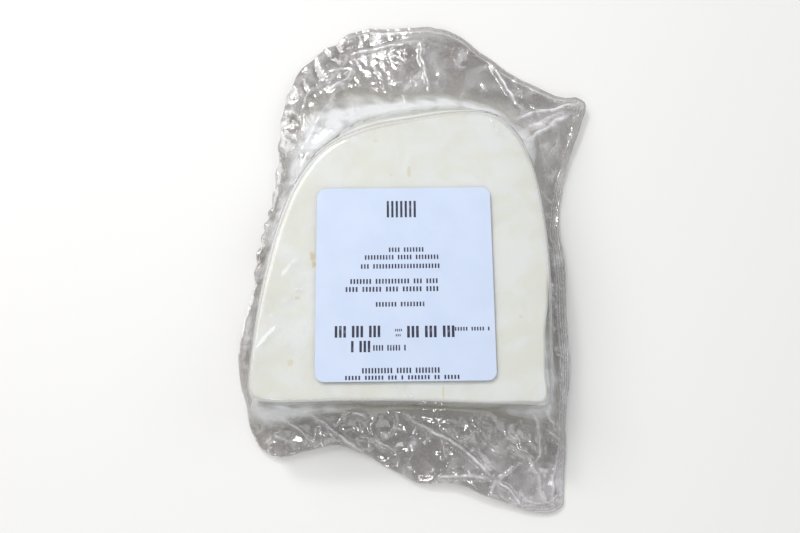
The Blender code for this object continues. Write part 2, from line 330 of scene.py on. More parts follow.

# %% [markdown]
# ## The folds that can be seen
# Between the crinkles run longer folds, pulled tight between the block and the corners of the bag. They
# are placed one by one: the line that each follows, its height, its half width and how milky it looks.
# Film turns milky on a fold because it is doubled and stretched there, and the milkiness also holds a
# painted highlight, the light that a fold reflects.

# %% Folds of the skirt and of the top, in millimetres
# Each is the line that it follows, its height, its half width and how milky it is.
SKIRT_FOLDS = (
    (((9.3, 101.8), (6.5, 97), (6.5, 93), (7.5, 88), (9.5, 77)), 1.2, 1.7, 0.5),
    (((7, 86.5), (3, 82), (-0.7, 76)), 1.0, 1.5, 0.5),
    (((22.6, 97), (20.2, 87.5)), 0.8, 2.6, 0.35),
    (((32.9, 91.7), (39, 80.2), (43.6, 69)), 1.6, 1.8, 0.8),
    (((39.5, 62), (46.5, 67), (60, 71), (66.5, 73)), 2.4, 2.2, 0.9),
    (((44, 59), (50.5, 63.5), (56, 67)), 1.4, 2.2, 0.8),
    (((40.5, 50.5), (47, 55), (54, 61.5), (62.5, 68.5)), 1.8, 2.2, 0.75),
    # This wide fold's milkiness is a painted reflection of the broad film panel at the corner.
    (((42, 57), (51, 63), (61, 69)), 1.6, 6.5, 0.35),
    (((-29.3, 87.6), (-19.8, 88), (-22, 84), (-28.3, 79)), 1.4, 1.6, 0.7),
    (((-24.4, 93.8), (-9.2, 96.8), (6.2, 98.5), (18, 97)), 0.8, 2.0, 0.25),
    (((-22, 84), (-30, 70), (-37, 54), (-40, 44)), 1.0, 2.0, 0.3),
    (((-41.3, -42), (-35.6, -46.4), (-29.4, -52)), 0.9, 1.3, 0.4),
    (((-30.2, -45.7), (-30.1, -51)), 0.9, 1.2, 0.5),
    (((-32, -41), (-22.7, -47.4), (-13, -54.6)), 1.6, 1.6, 0.7),
    (((-44.5, -47.7), (-40, -50)), 1.2, 1.4, 0.6),
    (((-17.9, -41), (-12.8, -41.3)), 1.3, 1.4, 0.8),
    (((-16.8, -48.7), (-10, -49.7), (-2.2, -53.7)), 0.8, 1.5, 0.3),
    (((-2.5, -39.5), (4, -43.7), (8.4, -46.4), (17.5, -51), (22.6, -55.3), (30.2, -62.2)), 1.7, 1.5, 0.75),
    (((17.9, -51), (25.1, -46.4)), 1.0, 1.3, 0.45),
    (((30.5, -62.5), (39.8, -57.3)), 1.2, 1.3, 0.55),
    (((30.5, -62.5), (21.8, -61.2), (16, -61.5), (9.9, -63.1)), 1.1, 1.4, 0.55),
    (((30.5, -62.5), (29, -67.5)), 1.0, 1.3, 0.55),
    (((30.5, -62.5), (35.1, -66), (40.2, -72)), 1.2, 1.3, 0.6),
    (((40, -37), (43.7, -43.3), (45.8, -49), (45.9, -55.3), (42.4, -58.6)), 1.2, 1.4, 0.45),
    (((45, -36), (47, -42), (50.4, -45.4)), 1.5, 1.5, 0.65),
    (((46.3, -45.7), (53.3, -50.3)), 1.0, 1.2, 0.45),
    (((53.3, -51), (50.9, -57.6), (49.8, -67.3), (51.2, -72.5)), 0.9, 1.2, 0.45),
    (((45.4, -59.2), (46, -71.2)), 0.9, 1.2, 0.35),
)
# Drops of whey and crumbs of curd caught between the films, in the same form.
SKIRT_DROPS = (
    (((3.2, -48.2), (3, -50.6), (1.2, -52.8)), 0.6, 3.0, 0.6),
    (((0.8, -51.4), (3.4, -53.4)), 0.5, 2.4, 0.5),
    (((-8.2, -46.6), (-5.4, -48.4)), 0.5, 2.6, 0.4),
    (((-3.6, -45.4), (-0.8, -46.6)), 0.4, 2.0, 0.35),
    (((52.2, 3.8), (52.4, 2.6)), 0.6, 1.6, 0.6),
    (((53.6, -3), (53.2, -4.4)), 0.6, 1.5, 0.55),
    (((51.4, -10), (51.6, -11.6)), 0.6, 1.6, 0.6),
    (((52.6, -18), (52.2, -20)), 0.6, 1.5, 0.5),
    (((54.2, -27), (53.8, -29)), 0.6, 1.6, 0.55),
    (((51, 18), (51.6, 15.6)), 0.5, 1.4, 0.4),
    (((60, 60.5), (60.6, 58.6)), 0.5, 1.5, 0.4),
    (((62.6, 66), (62.2, 64.6)), 0.5, 1.3, 0.5),
)
# Over the top face the folds' milkiness is a painted highlight: lighter bands where the film catches light.
TOP_FOLDS = (
    (((-33.6, 9), (-36, 5.5), (-39.3, 1)), 0.16, 1.9, 0.16),
    (((-32.5, 2.4), (-35.2, -2), (-38.9, -8)), 0.16, 1.8, 0.16),
    (((-33.8, -1.6), (-33, -3.4)), 0.3, 0.9, 0.3),
    (((-32, -3), (-29.4, -7)), 0.14, 1.1, 0.12),
    (((-43.3, -5.3), (-41.5, -11.5), (-38.4, -17.5), (-35.8, -23)), 0.18, 1.8, 0.16),
    (((-41.1, -13.4), (-42.2, -16.4), (-46.2, -21)), 0.42, 1.1, 0.25),
    (((-33, -12), (-31.6, -19), (-32.2, -26)), 0.15, 1.6, 0.08),
    (((29.6, 57.5), (31.3, 53), (34.2, 49.4)), 0.4, 1.0, 0.4),
    (((35.5, 47), (39, 42.5)), 0.25, 0.9, 0.2),
    (((-2.4, -32.3), (-0.6, -34.1), (1, -35.3), (3, -38)), 0.35, 1.0, 0.3),
    (((-3.4, -32.4), (-1.5, -35.7)), 0.25, 0.9, 0.2),
)
# A fold's line wanders by this much, over this length.
FOLD_WANDER, FOLD_WANDER_SIZE = 0.5, 9
# How steep its sides are, how quickly it tapers at its ends, and how far it tapers past them.
FOLD_STEEPNESS = 1.2
FOLD_TAPER = 4
FOLD_OVERSHOOT = 0.05
# Its milky line and the faint veil beside it: share of the half width, and strength.
FOLD_LINES = ((0.5, 1), (1.8, 0.3))
# The milk comes and goes along it: middle strength, swing and length.
STREAK, STREAK_SWING, STREAK_SIZE = 0.75, 0.35, 6


def fold_field(x, y, folds):
    """Height and milkiness of the folds at each point. A fold rises to a crest and tapers at its ends."""
    height, milk_and_highlight = np.zeros(np.shape(x)), np.zeros(np.shape(x))
    bend_x, bend_y = (FOLD_WANDER * sway(x, y, FOLD_WANDER_SIZE, seed) for seed in (6, 7))
    x, y = x + bend_x, y + bend_y
    streak = STREAK + STREAK_SWING * sway(x, y, STREAK_SIZE, seed=10)
    for line, top, half_width, milky in folds:
        corner = np.array(line, float)
        length = np.linalg.norm(np.diff(corner, axis=0), axis=1)
        so_far = np.concatenate(([0], np.cumsum(length)))
        for k, (a, b) in enumerate(zip(corner, corner[1:])):
            near = np.clip(((x - a[0]) * (b[0] - a[0]) + (y - a[1]) * (b[1] - a[1])) / length[k] ** 2, 0, 1)
            away = np.hypot(x - a[0] - near * (b[0] - a[0]), y - a[1] - near * (b[1] - a[1]))
            share = (so_far[k] + near * length[k]) / so_far[-1]
            to_end = np.minimum(share, 1 - share) + FOLD_OVERSHOOT
            taper = np.clip(FOLD_TAPER * to_end, 0, 1)
            rise = top * taper * np.clip(1 - away / half_width, 0, 1) ** FOLD_STEEPNESS
            height = np.maximum(height, rise)
            crest = sum(part * smooth_step(1 - away / (wide * half_width)) for wide, part in FOLD_LINES)
            milk_and_highlight = np.maximum(milk_and_highlight, milky * taper * streak * crest)
    return height, np.clip(milk_and_highlight, 0, 1)


print(len(SKIRT_FOLDS), "folds in the skirt and", len(TOP_FOLDS), "over the top face")

# %% [markdown]
# ### Short loose creases
# Besides the long folds the skirt is full of short creases. Most of them start near the block and fan
# out from it, where the film was pulled in, and some lie across. A seeded draw places them.

# %% Short creases
CREASES_ROUND_BLOCK = 110
CREASES_ACROSS = 70
CREASE_SEED = 17
# Where a crease starts, as a share of the skirt crossed, and its length, each from and to.
FANNED_START, FANNED_LENGTH = (0.1, 0.55), (3, 12)
ACROSS_START, ACROSS_LENGTH = (0.2, 0.9), (2, 7)
FAN_SPREAD = 0.35
CREASE_BOW = 0.12
CREASE_HALF_WIDTH = (0.9, 1.5)
CREASE_HEIGHT = (0.3, 0.9)
CREASE_MILK = (0.05, 0.4)


def short_creases():
    """Folds in the same form as the long ones, fanned out from the block or lying across the skirt."""
    draw = np.random.default_rng(CREASE_SEED)
    found = []
    for k in range(CREASES_ROUND_BLOCK + CREASES_ACROSS):
        bearing = draw.uniform(0, 2 * math.pi)
        inner, outer = radius_at(BLOCK_OUTLINE, bearing), radius_at(BAG_OUTLINE, bearing)
        fans = k < CREASES_ROUND_BLOCK
        start = inner + (outer - inner) * draw.uniform(*(FANNED_START if fans else ACROSS_START))
        heading = bearing + (draw.normal(0, FAN_SPREAD) if fans else draw.uniform(0, math.pi))
        length = draw.uniform(*(FANNED_LENGTH if fans else ACROSS_LENGTH))
        a = np.array(at_spoke(start, bearing))
        b = a + length * np.array((math.cos(heading), math.sin(heading)))
        bow = draw.normal(0, CREASE_BOW) * length * np.array((-math.sin(heading), math.cos(heading)))
        half_width, top, milky = (draw.uniform(*r) for r in (CREASE_HALF_WIDTH, CREASE_HEIGHT, CREASE_MILK))
        found.append(((a, (a + b) / 2 + bow, b), top, half_width, milky))
    return found


SHORT_CREASES = short_creases()
print(len(SHORT_CREASES), "short creases")

# %% [markdown]
# ## The gathered seal and the side seam
# Down one side the bag was shrunk or clipped in, and its seal is gathered into close puckers with a
# scalloped edge. Down the other side runs a flat welded seam, a strip with fine ridges along it, and a
# narrow hem closes the rounded end. All three follow the outline, so they are worked out from the
# distance travelled along the outline and the distance in from it.

# %% Puckers
PUCKER_BEARINGS = (97, 192)
PUCKER_COUNT = 15
PUCKER_SCALLOP = 0.9
PUCKER_FADE = 1 / 8
PUCKER_DRIFT = 0.012
PUCKER_DRIFT_TURNS = 3
# How far in from the seal the puckers reach: (bearing, millimetres).
PUCKER_REACH = ((97, 6), (110, 11), (126, 14), (142, 10), (162, 7), (178, 2), (192, -3))
# The inner border of the gathered band wanders: (millimetres, waves round the pack, start).
PUCKER_WANDER = ((1.6, 11, 0), (1.1, 23, 1))
PUCKER_BORDER = 3


def pucker_strength(bearing):
    """How far along the gathered stretch a bearing is, and 1 inside it and 0 outside."""
    low, high = (math.radians(b) for b in PUCKER_BEARINGS)
    along = (bearing % (2 * math.pi) - low) / (high - low)
    return along, smooth_step(along / PUCKER_FADE) * smooth_step((1 - along) / PUCKER_FADE)


def scallop(bearing):
    """How far the puckers pull the outline in."""
    along, inside = pucker_strength(bearing)
    drift = PUCKER_DRIFT * np.sin(2 * math.pi * PUCKER_DRIFT_TURNS * along)
    wave = np.cos(2 * math.pi * PUCKER_COUNT * (along + drift))
    return inside * (1 - wave) / 2 * PUCKER_SCALLOP


def gather_amount(from_seal, bearing):
    """1 in the gathered band and 0 away from it, with an inner border that wanders."""
    wander = sum(size * np.sin(waves * bearing + start) for size, waves, start in PUCKER_WANDER)
    border = by_bearing(PUCKER_REACH, bearing) + wander
    return pucker_strength(bearing)[1] * smooth_step((border - from_seal) / PUCKER_BORDER)


print("puckers fill bearings", PUCKER_BEARINGS)

# %% [markdown]
# ### Pleats, seam ridges and hem
# The puckers are crushed film with its facets drawn out towards the seal, with a painted highlight on their
# crests and painted shade in their valleys. A weld is a low milky ridge that runs along the seal. Both are
# added to the height of the film, and both change how milky it looks.

# %% Pleats, seam and hem
PLEAT_WIDTH = 3.0
PLEAT_LENGTH = 6
PLEAT_HEIGHT = 1.6
PLEAT_LEAN = 0.5
# The pleats bend along the seal and across it, and finer ones lie on them: share of the height, and how
# much closer they lie.
PLEAT_BEND, PLEAT_BEND_SIZE = (1.2, 0.5), (17, 9)
FINE_PLEATS, FINE_PLEATS_CLOSER = 0.25, (1.7, 2.6)
# Their height and milkiness are a middle value and a swing. A painted highlight starts above a share of
# the height, and painted shade fills the valleys below a share.
PLEAT_SWELL, PLEAT_SWELL_SIZE = (0.85, 0.25), 23
PLEAT_MILK_AND_CREST_HIGHLIGHT = (0.04, 0.25)
PLEAT_HIGHLIGHT_FROM, PLEAT_HIGHLIGHT_OVER = 0.45, 0.5
VALLEY_SHADE_FROM, VALLEY_SHADE_OVER = 0.6, 0.45
# A ridge borders the gathered band: where its strength is this, as high and as milky as this.
BORDER_AT, BORDER_HEIGHT, BORDER_MILK = 0.45, 0.4, 0.3
# Seam ridges and hem: millimetres from the seal, and where they run, as (bearing, strength).
SEAM_RIDGES, SEAM_HALF_WIDTH = (0.8, 1.7, 2.6, 3.7), 0.45
SEAM_TABLE = ((0, 1), (28, 1), (44, 0), (290, 0), (305, 1))
SEAM_BEND, SEAM_BEND_SIZE = 0.3, 30
HEM_AT, HEM_HALF_WIDTH = 1.9, 0.5
HEM_TABLE = ((30, 0), (48, 1), (98, 1), (112, 0))
WELD_HEIGHT, WELD_MILK = 0.3, 0.45
RIM_HALF_WIDTH, RIM_EDGE_MILK = 0.5, 0.4


def ridge(distance, at, half_width):
    """1 at one distance, and down to 0 on both sides of it."""
    return np.clip(1 - np.abs(distance - at) / half_width, 0, 1)


def seal_relief(along_seal, from_seal, bearing):
    """Height, milkiness and painted shade of what follows the seal, with a painted highlight on pucker
    crests.
    """
    gathered = gather_amount(from_seal, bearing)
    bends = [
        bend * sway(along_seal, from_seal, size, seed)
        for bend, size, seed in zip(PLEAT_BEND, PLEAT_BEND_SIZE, (5, 18))
    ]
    lean = along_seal + PLEAT_LEAN * from_seal + bends[0]
    across = from_seal * PLEAT_WIDTH / PLEAT_LENGTH + bends[1]
    puffed = crushed(lean, across, PLEAT_WIDTH, seed=11)
    closer_lean, closer_across = lean * FINE_PLEATS_CLOSER[0], across * FINE_PLEATS_CLOSER[1]
    fine = FINE_PLEATS * crushed(closer_lean, closer_across, PLEAT_WIDTH, seed=12)
    swell = PLEAT_SWELL[0] + PLEAT_SWELL[1] * sway(along_seal, from_seal, PLEAT_SWELL_SIZE, seed=13)
    height = gathered * PLEAT_HEIGHT * (puffed + fine) * swell
    # Painted highlight on the pucker crests, and painted shade in their valleys.
    crest_highlight = smooth_step((puffed - PLEAT_HIGHLIGHT_FROM) / PLEAT_HIGHLIGHT_OVER)
    milk_and_highlight = gathered * (PLEAT_MILK_AND_CREST_HIGHLIGHT[0] + PLEAT_MILK_AND_CREST_HIGHLIGHT[1] * crest_highlight)
    dark = gathered * smooth_step((VALLEY_SHADE_FROM - puffed) / VALLEY_SHADE_OVER)
    border = pucker_strength(bearing)[1] * ridge(gathered, BORDER_AT, BORDER_AT)
    height, milk_and_highlight = height + BORDER_HEIGHT * border, np.maximum(milk_and_highlight, BORDER_MILK * border)
    seam, hem = by_bearing(SEAM_TABLE, bearing), by_bearing(HEM_TABLE, bearing)
    wavering = from_seal + SEAM_BEND * sway(along_seal, from_seal, SEAM_BEND_SIZE, seed=14)
    welds = [seam * ridge(wavering, at, SEAM_HALF_WIDTH) for at in SEAM_RIDGES]
    for weld in welds + [hem * ridge(from_seal, HEM_AT, HEM_HALF_WIDTH)]:
        height, milk_and_highlight = height + WELD_HEIGHT * weld, np.maximum(milk_and_highlight, WELD_MILK * weld)
    rim = RIM_EDGE_MILK * ridge(from_seal, 0, RIM_HALF_WIDTH)
    return height, np.maximum(milk_and_highlight, rim), dark


print("the seam has", len(SEAM_RIDGES), "ridges")

# %% [markdown]
# ## The film
# The bag is one closed skin of film: an upper side that drapes over the block and a lower side that lies
# on the floor, joined at the seal. Cloth simulation could drape it, but would not put the folds where
# they are. So the skin is a grid of rings and spokes: the section gives each point's place, and the
# crinkles, folds and puckers lift it. Each spoke first gets its numbers: where wall and seal are, and
# what the tables say there. The sealed edge isn't cut quite straight, so it is notched a little.

# %% The film's spokes
FILM_SPOKES = 810
# The sealed edge is notched: (size, depth, seed).
NOTCHES = ((7, 0.6, 15), (2.3, 0.25, 16))

film_bearing = spoke_bearings(FILM_SPOKES)
film_block = radius_at(BLOCK_OUTLINE, film_bearing)
film_edge = by_bearing(EDGE_RADIUS, film_bearing)
film_seal = radius_at(BAG_OUTLINE, film_bearing) - scallop(film_bearing)
seal_x, seal_y = at_spoke(film_seal, film_bearing)
seal_step = np.hypot(np.diff(seal_x, append=seal_x[0]), np.diff(seal_y, append=seal_y[0]))
# How far along the seal each spoke is.
film_along = np.concatenate(([0], np.cumsum(seal_step)[:-1]))
flat = np.zeros(FILM_SPOKES)
for size, depth, seed in NOTCHES:
    film_seal = film_seal - depth * bowls(film_along, flat, size, seed)
film_leaves = by_bearing(FILM_LEAVES, film_bearing)
film_foot = wall_radius(film_block, film_bearing, film_leaves)
film_wet = by_bearing(WHEY_REACH, film_bearing)
print(FILM_SPOKES, "spokes, and the seal is", round(seal_step.sum()), "mm long")

# %% [markdown]
# ### The top face
# On the top face the film lies on moist cheese and clings to it, so it has only a slow sway and a few low
# folds. Under the label it is flat.

# %% Film on the top face
TOP_RINGS, TOP_CROWDING = 26, 1.6
# The film on the top face: how far below the block's full height, and its sways (height, size, seed).
TOP_SINK = 0.15
TOP_SWAYS = ((0.1, 34, 3), (0.04, 11, 4))
# It is flat within this half width and half length round the label, and free some way beyond.
FLAT_HALF_WIDTH, FLAT_HALF_LENGTH, FLAT_BORDER = 28, 31, 4
# It grows a little slack towards the edge of the top face.
TOP_SLACK, TOP_SLACK_POWER = 0.06, 6


def top_ring(share):
    """The film lies on the cheese, with a slow sway and a few low folds. It is flat under the label."""
    radius = (film_block - film_edge) * share
    x, y = at_spoke(radius, film_bearing)
    rise, milk_and_highlight = fold_field(x, y, TOP_FOLDS)
    outside = np.maximum(np.abs(x) - FLAT_HALF_WIDTH, np.abs(y) - FLAT_HALF_LENGTH)
    slow = sum(height * sway(x, y, size, seed) for height, size, seed in TOP_SWAYS)
    height = BLOCK_HEIGHT - TOP_SINK + smooth_step(outside / FLAT_BORDER) * (rise + slow)
    return radius, height, milk_and_highlight, flat + TOP_SLACK * share**TOP_SLACK_POWER, flat


top_rings = [top_ring(share) for share in shares(TOP_RINGS, TOP_CROWDING)]
print(len(top_rings), "rings on the top face")

# %% [markdown]
# ### The loose film
# Between the wall and the seal the film hangs free, and crumples, folds and puckers lift it. They start
# gently at the wall, and the crumples calm down at the seal, where the film is held. Where whey wets the
# film it is less slack, which its material shows.

# %% Film between wall and seal
SKIRT_RINGS, SKIRT_CROWDING = 62, 1.3
# How strongly the loose film is crumpled: (bearing, share).
CRUMPLED = (
    (0, 0.5), (40, 0.5), (70, 0.35), (105, 0.4), (128, 0.8), (190, 0.75), (228, 0.9), (262, 0.55),
    (315, 0.6),
)
# Crumples of loose film, each size and height, and how the rows of cells are bent, each reach and size.
LARGE_BOWLS, MIDDLE_FACETS, SMALL_FACETS = (14, 1.5), (7.5, 1.5), (3.2, 0.45)
LARGE_BEND, SMALL_BEND = (3, 40), (1.3, 13)
CREST_POWER, CREST_MILK = 4, 0.1
# Folds and crumples start within these shares of the way from the wall to the seal.
FOLDS_START, CRUMPLES_START = 0.12, 0.16
# Crumples lose a share in the gathered band. At the seal they keep a share, up to some millimetres in.
GATHERED_LOSS = 0.7
SEAL_KEEPS, SEAL_BORDER = 0.25, 4
# Wet film is hardly slack. It turns dry over a share of the whey's reach and at least some millimetres.
WET_SLACK = 0.2
DRY_FROM, DRY_OVER, DRY_LEAST = 0.45, 0.6, 2
film_crumpled = by_bearing(CRUMPLED, film_bearing)


def crumple(x, y):
    """Loose film: large bowls between ridges, with smaller flat facets pressed into them."""
    bend, size = LARGE_BEND
    bent_x, bent_y = x + bend * sway(x, y, size, seed=8), y + bend * sway(y, x, size, seed=9)
    large = bowls(bent_x, bent_y, LARGE_BOWLS[0], seed=21)
    bend, size = SMALL_BEND
    bent_x, bent_y = bent_x + bend * sway(x, y, size, seed=24), bent_y + bend * sway(y, x, size, seed=25)
    middle = crushed(bent_x, bent_y, MIDDLE_FACETS[0], seed=22)
    small = crushed(bent_x, bent_y, SMALL_FACETS[0], seed=23)
    height = LARGE_BOWLS[1] * large + MIDDLE_FACETS[1] * middle + SMALL_FACETS[1] * small
    return height, large**CREST_POWER


def skirt_ring(share):
    """The film between wall and seal: it hangs from the wall, and crumples, folds and puckers lift it."""
    radius = film_foot + (film_seal - film_foot) * share
    x, y = at_spoke(radius, film_bearing)
    from_seal = film_seal - radius
    gathered = gather_amount(from_seal, film_bearing)
    at_seal = SEAL_KEEPS + (1 - SEAL_KEEPS) * smooth_step(from_seal / SEAL_BORDER)
    free = smooth_step(share / CRUMPLES_START) * (1 - GATHERED_LOSS * gathered) * at_seal
    rise, crest = crumple(x, y)
    long_fold, long_milk = fold_field(x, y, SKIRT_FOLDS + SKIRT_DROPS)
    short_fold, short_milk = fold_field(x, y, SHORT_CREASES)
    relief, relief_milk, relief_valley_shade = seal_relief(film_along, from_seal, film_bearing)
    starts = smooth_step(share / FOLDS_START)
    lifts = (rise * film_crumpled + short_fold) * free + long_fold * starts + relief
    milks = (long_milk * starts, short_milk * free, relief_milk, CREST_MILK * crest * free)
    past_wet = radius - film_foot - DRY_FROM * film_wet
    dry = smooth_step(past_wet / (DRY_OVER * film_wet + DRY_LEAST))
    slack = WET_SLACK + (1 - WET_SLACK) * dry
    height = hanging(film_bearing, share) + lifts
    return radius, height, np.maximum.reduce(milks), slack, relief_valley_shade


skirt_rings = [skirt_ring(share) for share in shares(SKIRT_RINGS, SKIRT_CROWDING)]
print(len(skirt_rings), "rings between wall and seal")

# %% [markdown]
# ### Over the edge and down the wall
# Round the top face's edge the film gets a painted highlight, stored as milkiness. On the wall it clings
# with small tall bowls. These rings join the top face to the loose film. Each ring of the film holds five
# values for every spoke: radius, height, milkiness, slackness and the painted shade between the puckers.

# %% Edge, wall and all rings of the upper side
EDGE_RINGS = 6
WALL_RINGS = 9
# The painted highlight on the film round the top face's edge: (bearing, milkiness).
RIM_PAINTED_HIGHLIGHT = (
    (0, 0.4), (40, 0.5), (75, 0.3), (110, 0.45), (150, 0.5), (200, 0.4), (225, 0.12), (244, 0.45),
    (256, 0.3), (270, 0.05), (320, 0.15),
)
# How slack the film is on the edge and at the end of the wall.
EDGE_SLACK, WALL_SLACK = 0.1, 0.25
# Small bowls on the wall, taller than wide: depth, size, stretch and milkiness.
WALL_BOWLS, WALL_BOWL_SIZE, WALL_BOWL_STRETCH, WALL_BOWL_MILK = 0.45, 4.5, 2.5, 0.1

upper = list(top_rings)
rim_highlight = by_bearing(RIM_PAINTED_HIGHLIGHT, film_bearing)
# The edge rings carry the painted highlight, brightest halfway round the edge.
for angle, radius, height in edge_turn(film_block, film_edge, upper[-1][1], EDGE_RINGS):
    upper.append((radius, height, rim_highlight * math.sin(2 * angle) ** 2, flat + EDGE_SLACK, flat))
wall_top = BLOCK_HEIGHT - film_edge
for share in shares(WALL_RINGS):
    height = wall_top - (wall_top - film_leaves) * share
    bowl = bowls(film_along, height / WALL_BOWL_STRETCH, WALL_BOWL_SIZE, seed=31)
    cling = WALL_BOWLS * share * bowl
    radius = wall_radius(film_block, film_bearing, height) + cling
    upper.append((radius, height, WALL_BOWL_MILK * cling, flat + WALL_SLACK * share, flat))
upper += skirt_rings
highest = max(ring[1].max() for ring in upper)
print("upper side:", len(upper), "rings, highest point", round(highest, 2), "mm")

# %% [markdown]
# ### The lower side
# Under the pack the film lies on the floor below the block, and it turns up a little to meet the upper
# side at the seal. It has fewer rings, because little of it can be seen. It must stay below the upper
# side, so its height is a share of the seal's height that drops off quickly.

# %% Lower side of the film
LOWER_SHARES = (0.985, 0.96, 0.93, 0.89, 0.84, 0.78, 0.71, 0.63, 0.54, 0.44, 0.33, 0.22, 0.11, 0)
LOWER_FLAT_SHARES = (0.9, 0.7, 0.45, 0.2)
FILM_ON_FLOOR = 0.15
FOOT_INSET = 1.7
TURN_UP_POWER = 9
# Ripples, and how quickly they grow from the block and fade at the seal.
RIPPLE, RIPPLE_SIZE = 0.6, 7
RIPPLE_GROWS, RIPPLE_FADES = 5, 9
film_base = wall_radius(film_block, film_bearing, 0.0) - FOOT_INSET

lower = []
for share in LOWER_SHARES:
    radius = film_base + (film_seal - film_base) * share
    x, y = at_spoke(radius, film_bearing)
    lift = FILM_ON_FLOOR + (upper[-1][1] - FILM_ON_FLOOR) * share**TURN_UP_POWER
    calm = smooth_step(share * RIPPLE_GROWS) * smooth_step((1 - share) * RIPPLE_FADES)
    ripple = RIPPLE * facets(x, y, RIPPLE_SIZE, seed=41) * calm
    lower.append((radius, lift + ripple, flat, flat + share, flat))
for share in LOWER_FLAT_SHARES:
    lower.append((film_base * share, flat + FILM_ON_FLOOR, flat, flat, flat))
print("lower side:", len(lower), "rings")

# %% [markdown]
# ## From rings to a mesh
# A ring is a row of points, one on each spoke. Neighbouring rings are joined by four-sided faces, and the
# first and last ring are closed by a fan to one point in the middle. The same helper makes the film, the
# cheese and the label. It stores extra values, such as milkiness, as attributes that a material can read.

# %% Mesh from rings
def ring_faces(rings, spokes):
    """Quads between neighbouring rings of points."""
    i = np.arange(spokes)
    j = (i + 1) % spokes
    one_row = np.column_stack((i, spokes + i, spokes + j, j))
    return np.concatenate([one_row + ring * spokes for ring in range(rings - 1)]).tolist()


def new_piece(name, points, faces, extras=None):
    """An object from points in millimetres, smooth shaded, with extra values stored on its points."""
    data = bpy.data.meshes.new(name)
    data.from_pydata((np.asarray(points) + LABEL_AT) * MM, [], faces)
    for label, values in (extras or {}).items():
        data.attributes.new(label, "FLOAT", "POINT").data.foreach_set("value", np.asarray(values, np.float32))
    data.shade_smooth()
    print(f"{name}: {len(points)} points, {sum(len(face) - 2 for face in faces)} triangles")
    return add_object(name, data)


def closed_skin(name, layers, poles, extras=None):
    """A closed piece from rings of points that run from its upper pole to its lower pole."""
    spokes = len(layers[0])
    first_pole, last_ring = len(layers) * spokes, (len(layers) - 1) * spokes
    faces = ring_faces(len(layers), spokes)
    for i in range(spokes):
        j = (i + 1) % spokes
        faces += [[first_pole, i, j], [first_pole + 1, last_ring + j, last_ring + i]]
    return new_piece(name, np.concatenate([*layers, poles]), faces, extras)


def ring_points(rings, bearing):
    """The points of rings that start with a radius and a height for each spoke."""
    return [np.column_stack((*at_spoke(ring[0], bearing), ring[1])) for ring in rings]


def spoke_skin(name, rings, bearing, extras=()):
    """A closed piece from rings on spokes. What follows radius and height is stored by these names."""
    poles = [(*BLOCK_MIDDLE, ring[1].mean()) for ring in (rings[0], rings[-1])]
    stored = {}
    for column, label in enumerate(extras, start=2):
        stored[label] = np.concatenate([ring[column] for ring in rings] + [[0, 0]])
    return closed_skin(name, ring_points(rings, bearing), poles, stored)


# Milk is how white the film is, painted highlights included, slack how loose and dry, and gathered the
# painted shade between the puckers.
film = spoke_skin("bag_film", upper + lower, film_bearing, ("milk_and_highlight", "slack", "gathered"))

# %% [markdown]
# ## The cheese
# The block is curd that was pressed in a tapered mould and then cut. Its top is almost flat, with slow
# hollows. Its wall is rough where curds broke, most of all round the sloping end, which has the thin
# level layers of a cut that followed the curd. All of that relief goes inwards from the film, so
# the block always stays inside its bag. One lower corner stands further back, and whey fills the gap.

# %% Cheese
CHEESE_SPOKES = 460
CHEESE_TOP_RINGS, CHEESE_TOP_CROWDING = 30, 1.4
CHEESE_EDGE_RINGS = 7
CHEESE_WALL_RINGS = 34
CHEESE_TOP_GAP = 0.45
CHEESE_FILM_GAP = 0.3
# Its underside: height, shares of the foot's radius, and how the foot turns in (height, step in, step up).
CHEESE_UNDER = 0.35
CHEESE_UNDER_SHARES = (0.97, 0.8, 0.5, 0.2)
FOOT_HEIGHT, FOOT_IN, FOOT_UP = 1.2, 0.5, 0.3
# Hollows of the top face, slow ones and small bowls, each depth and size.
SLOW_HOLLOWS, SMALL_HOLLOWS = (0.14, 30), (0.1, 4.5)
# Layers in the wall: depth and angle of the wave for each millimetre up. Then how they bend and how they
# come and go, each size and flatness.
LAYER_DEPTH, LAYER_PACE, LAYER_BEND = 0.14, 2.1, 3
LAYER_BENDS, LAYER_FADES = (60, 3), (25, 2)
# Broken curd: size and flatness of the large breaks, size and depth of the small ones.
BREAK_SIZE, BREAK_FLATNESS, CRUMB_SIZE, CRUMB_DEPTH = 7, 1.2, 4, 0.5
WALL_DEPTH, WALL_DEPTH_GROWS = 0.35, 5
# How far one lower corner of the block stands back from the film: (bearing, millimetres).
CHEESE_CORNER_INSET = ((300, 0), (312, 0.9), (320, 3.0), (329, 2.4), (345, 0.9), (357, 0))
# How rough the wall is: (bearing, millimetres).
WALL_ROUGH = (
    (0, 0.25), (40, 0.4), (60, 0.5), (92, 0.6), (105, 2.2), (122, 2.6), (138, 1.6), (165, 0.5),
    (225, 0.6), (270, 0.4),
)

cheese_bearing = spoke_bearings(CHEESE_SPOKES)
cheese_inset = CHEESE_FILM_GAP + by_bearing(CHEESE_CORNER_INSET, cheese_bearing)
cheese_block = radius_at(BLOCK_OUTLINE, cheese_bearing) - cheese_inset
cheese_top = BLOCK_HEIGHT - CHEESE_TOP_GAP
cheese_edge = by_bearing(EDGE_RADIUS, cheese_bearing)
cheese_rough = by_bearing(WALL_ROUGH, cheese_bearing)

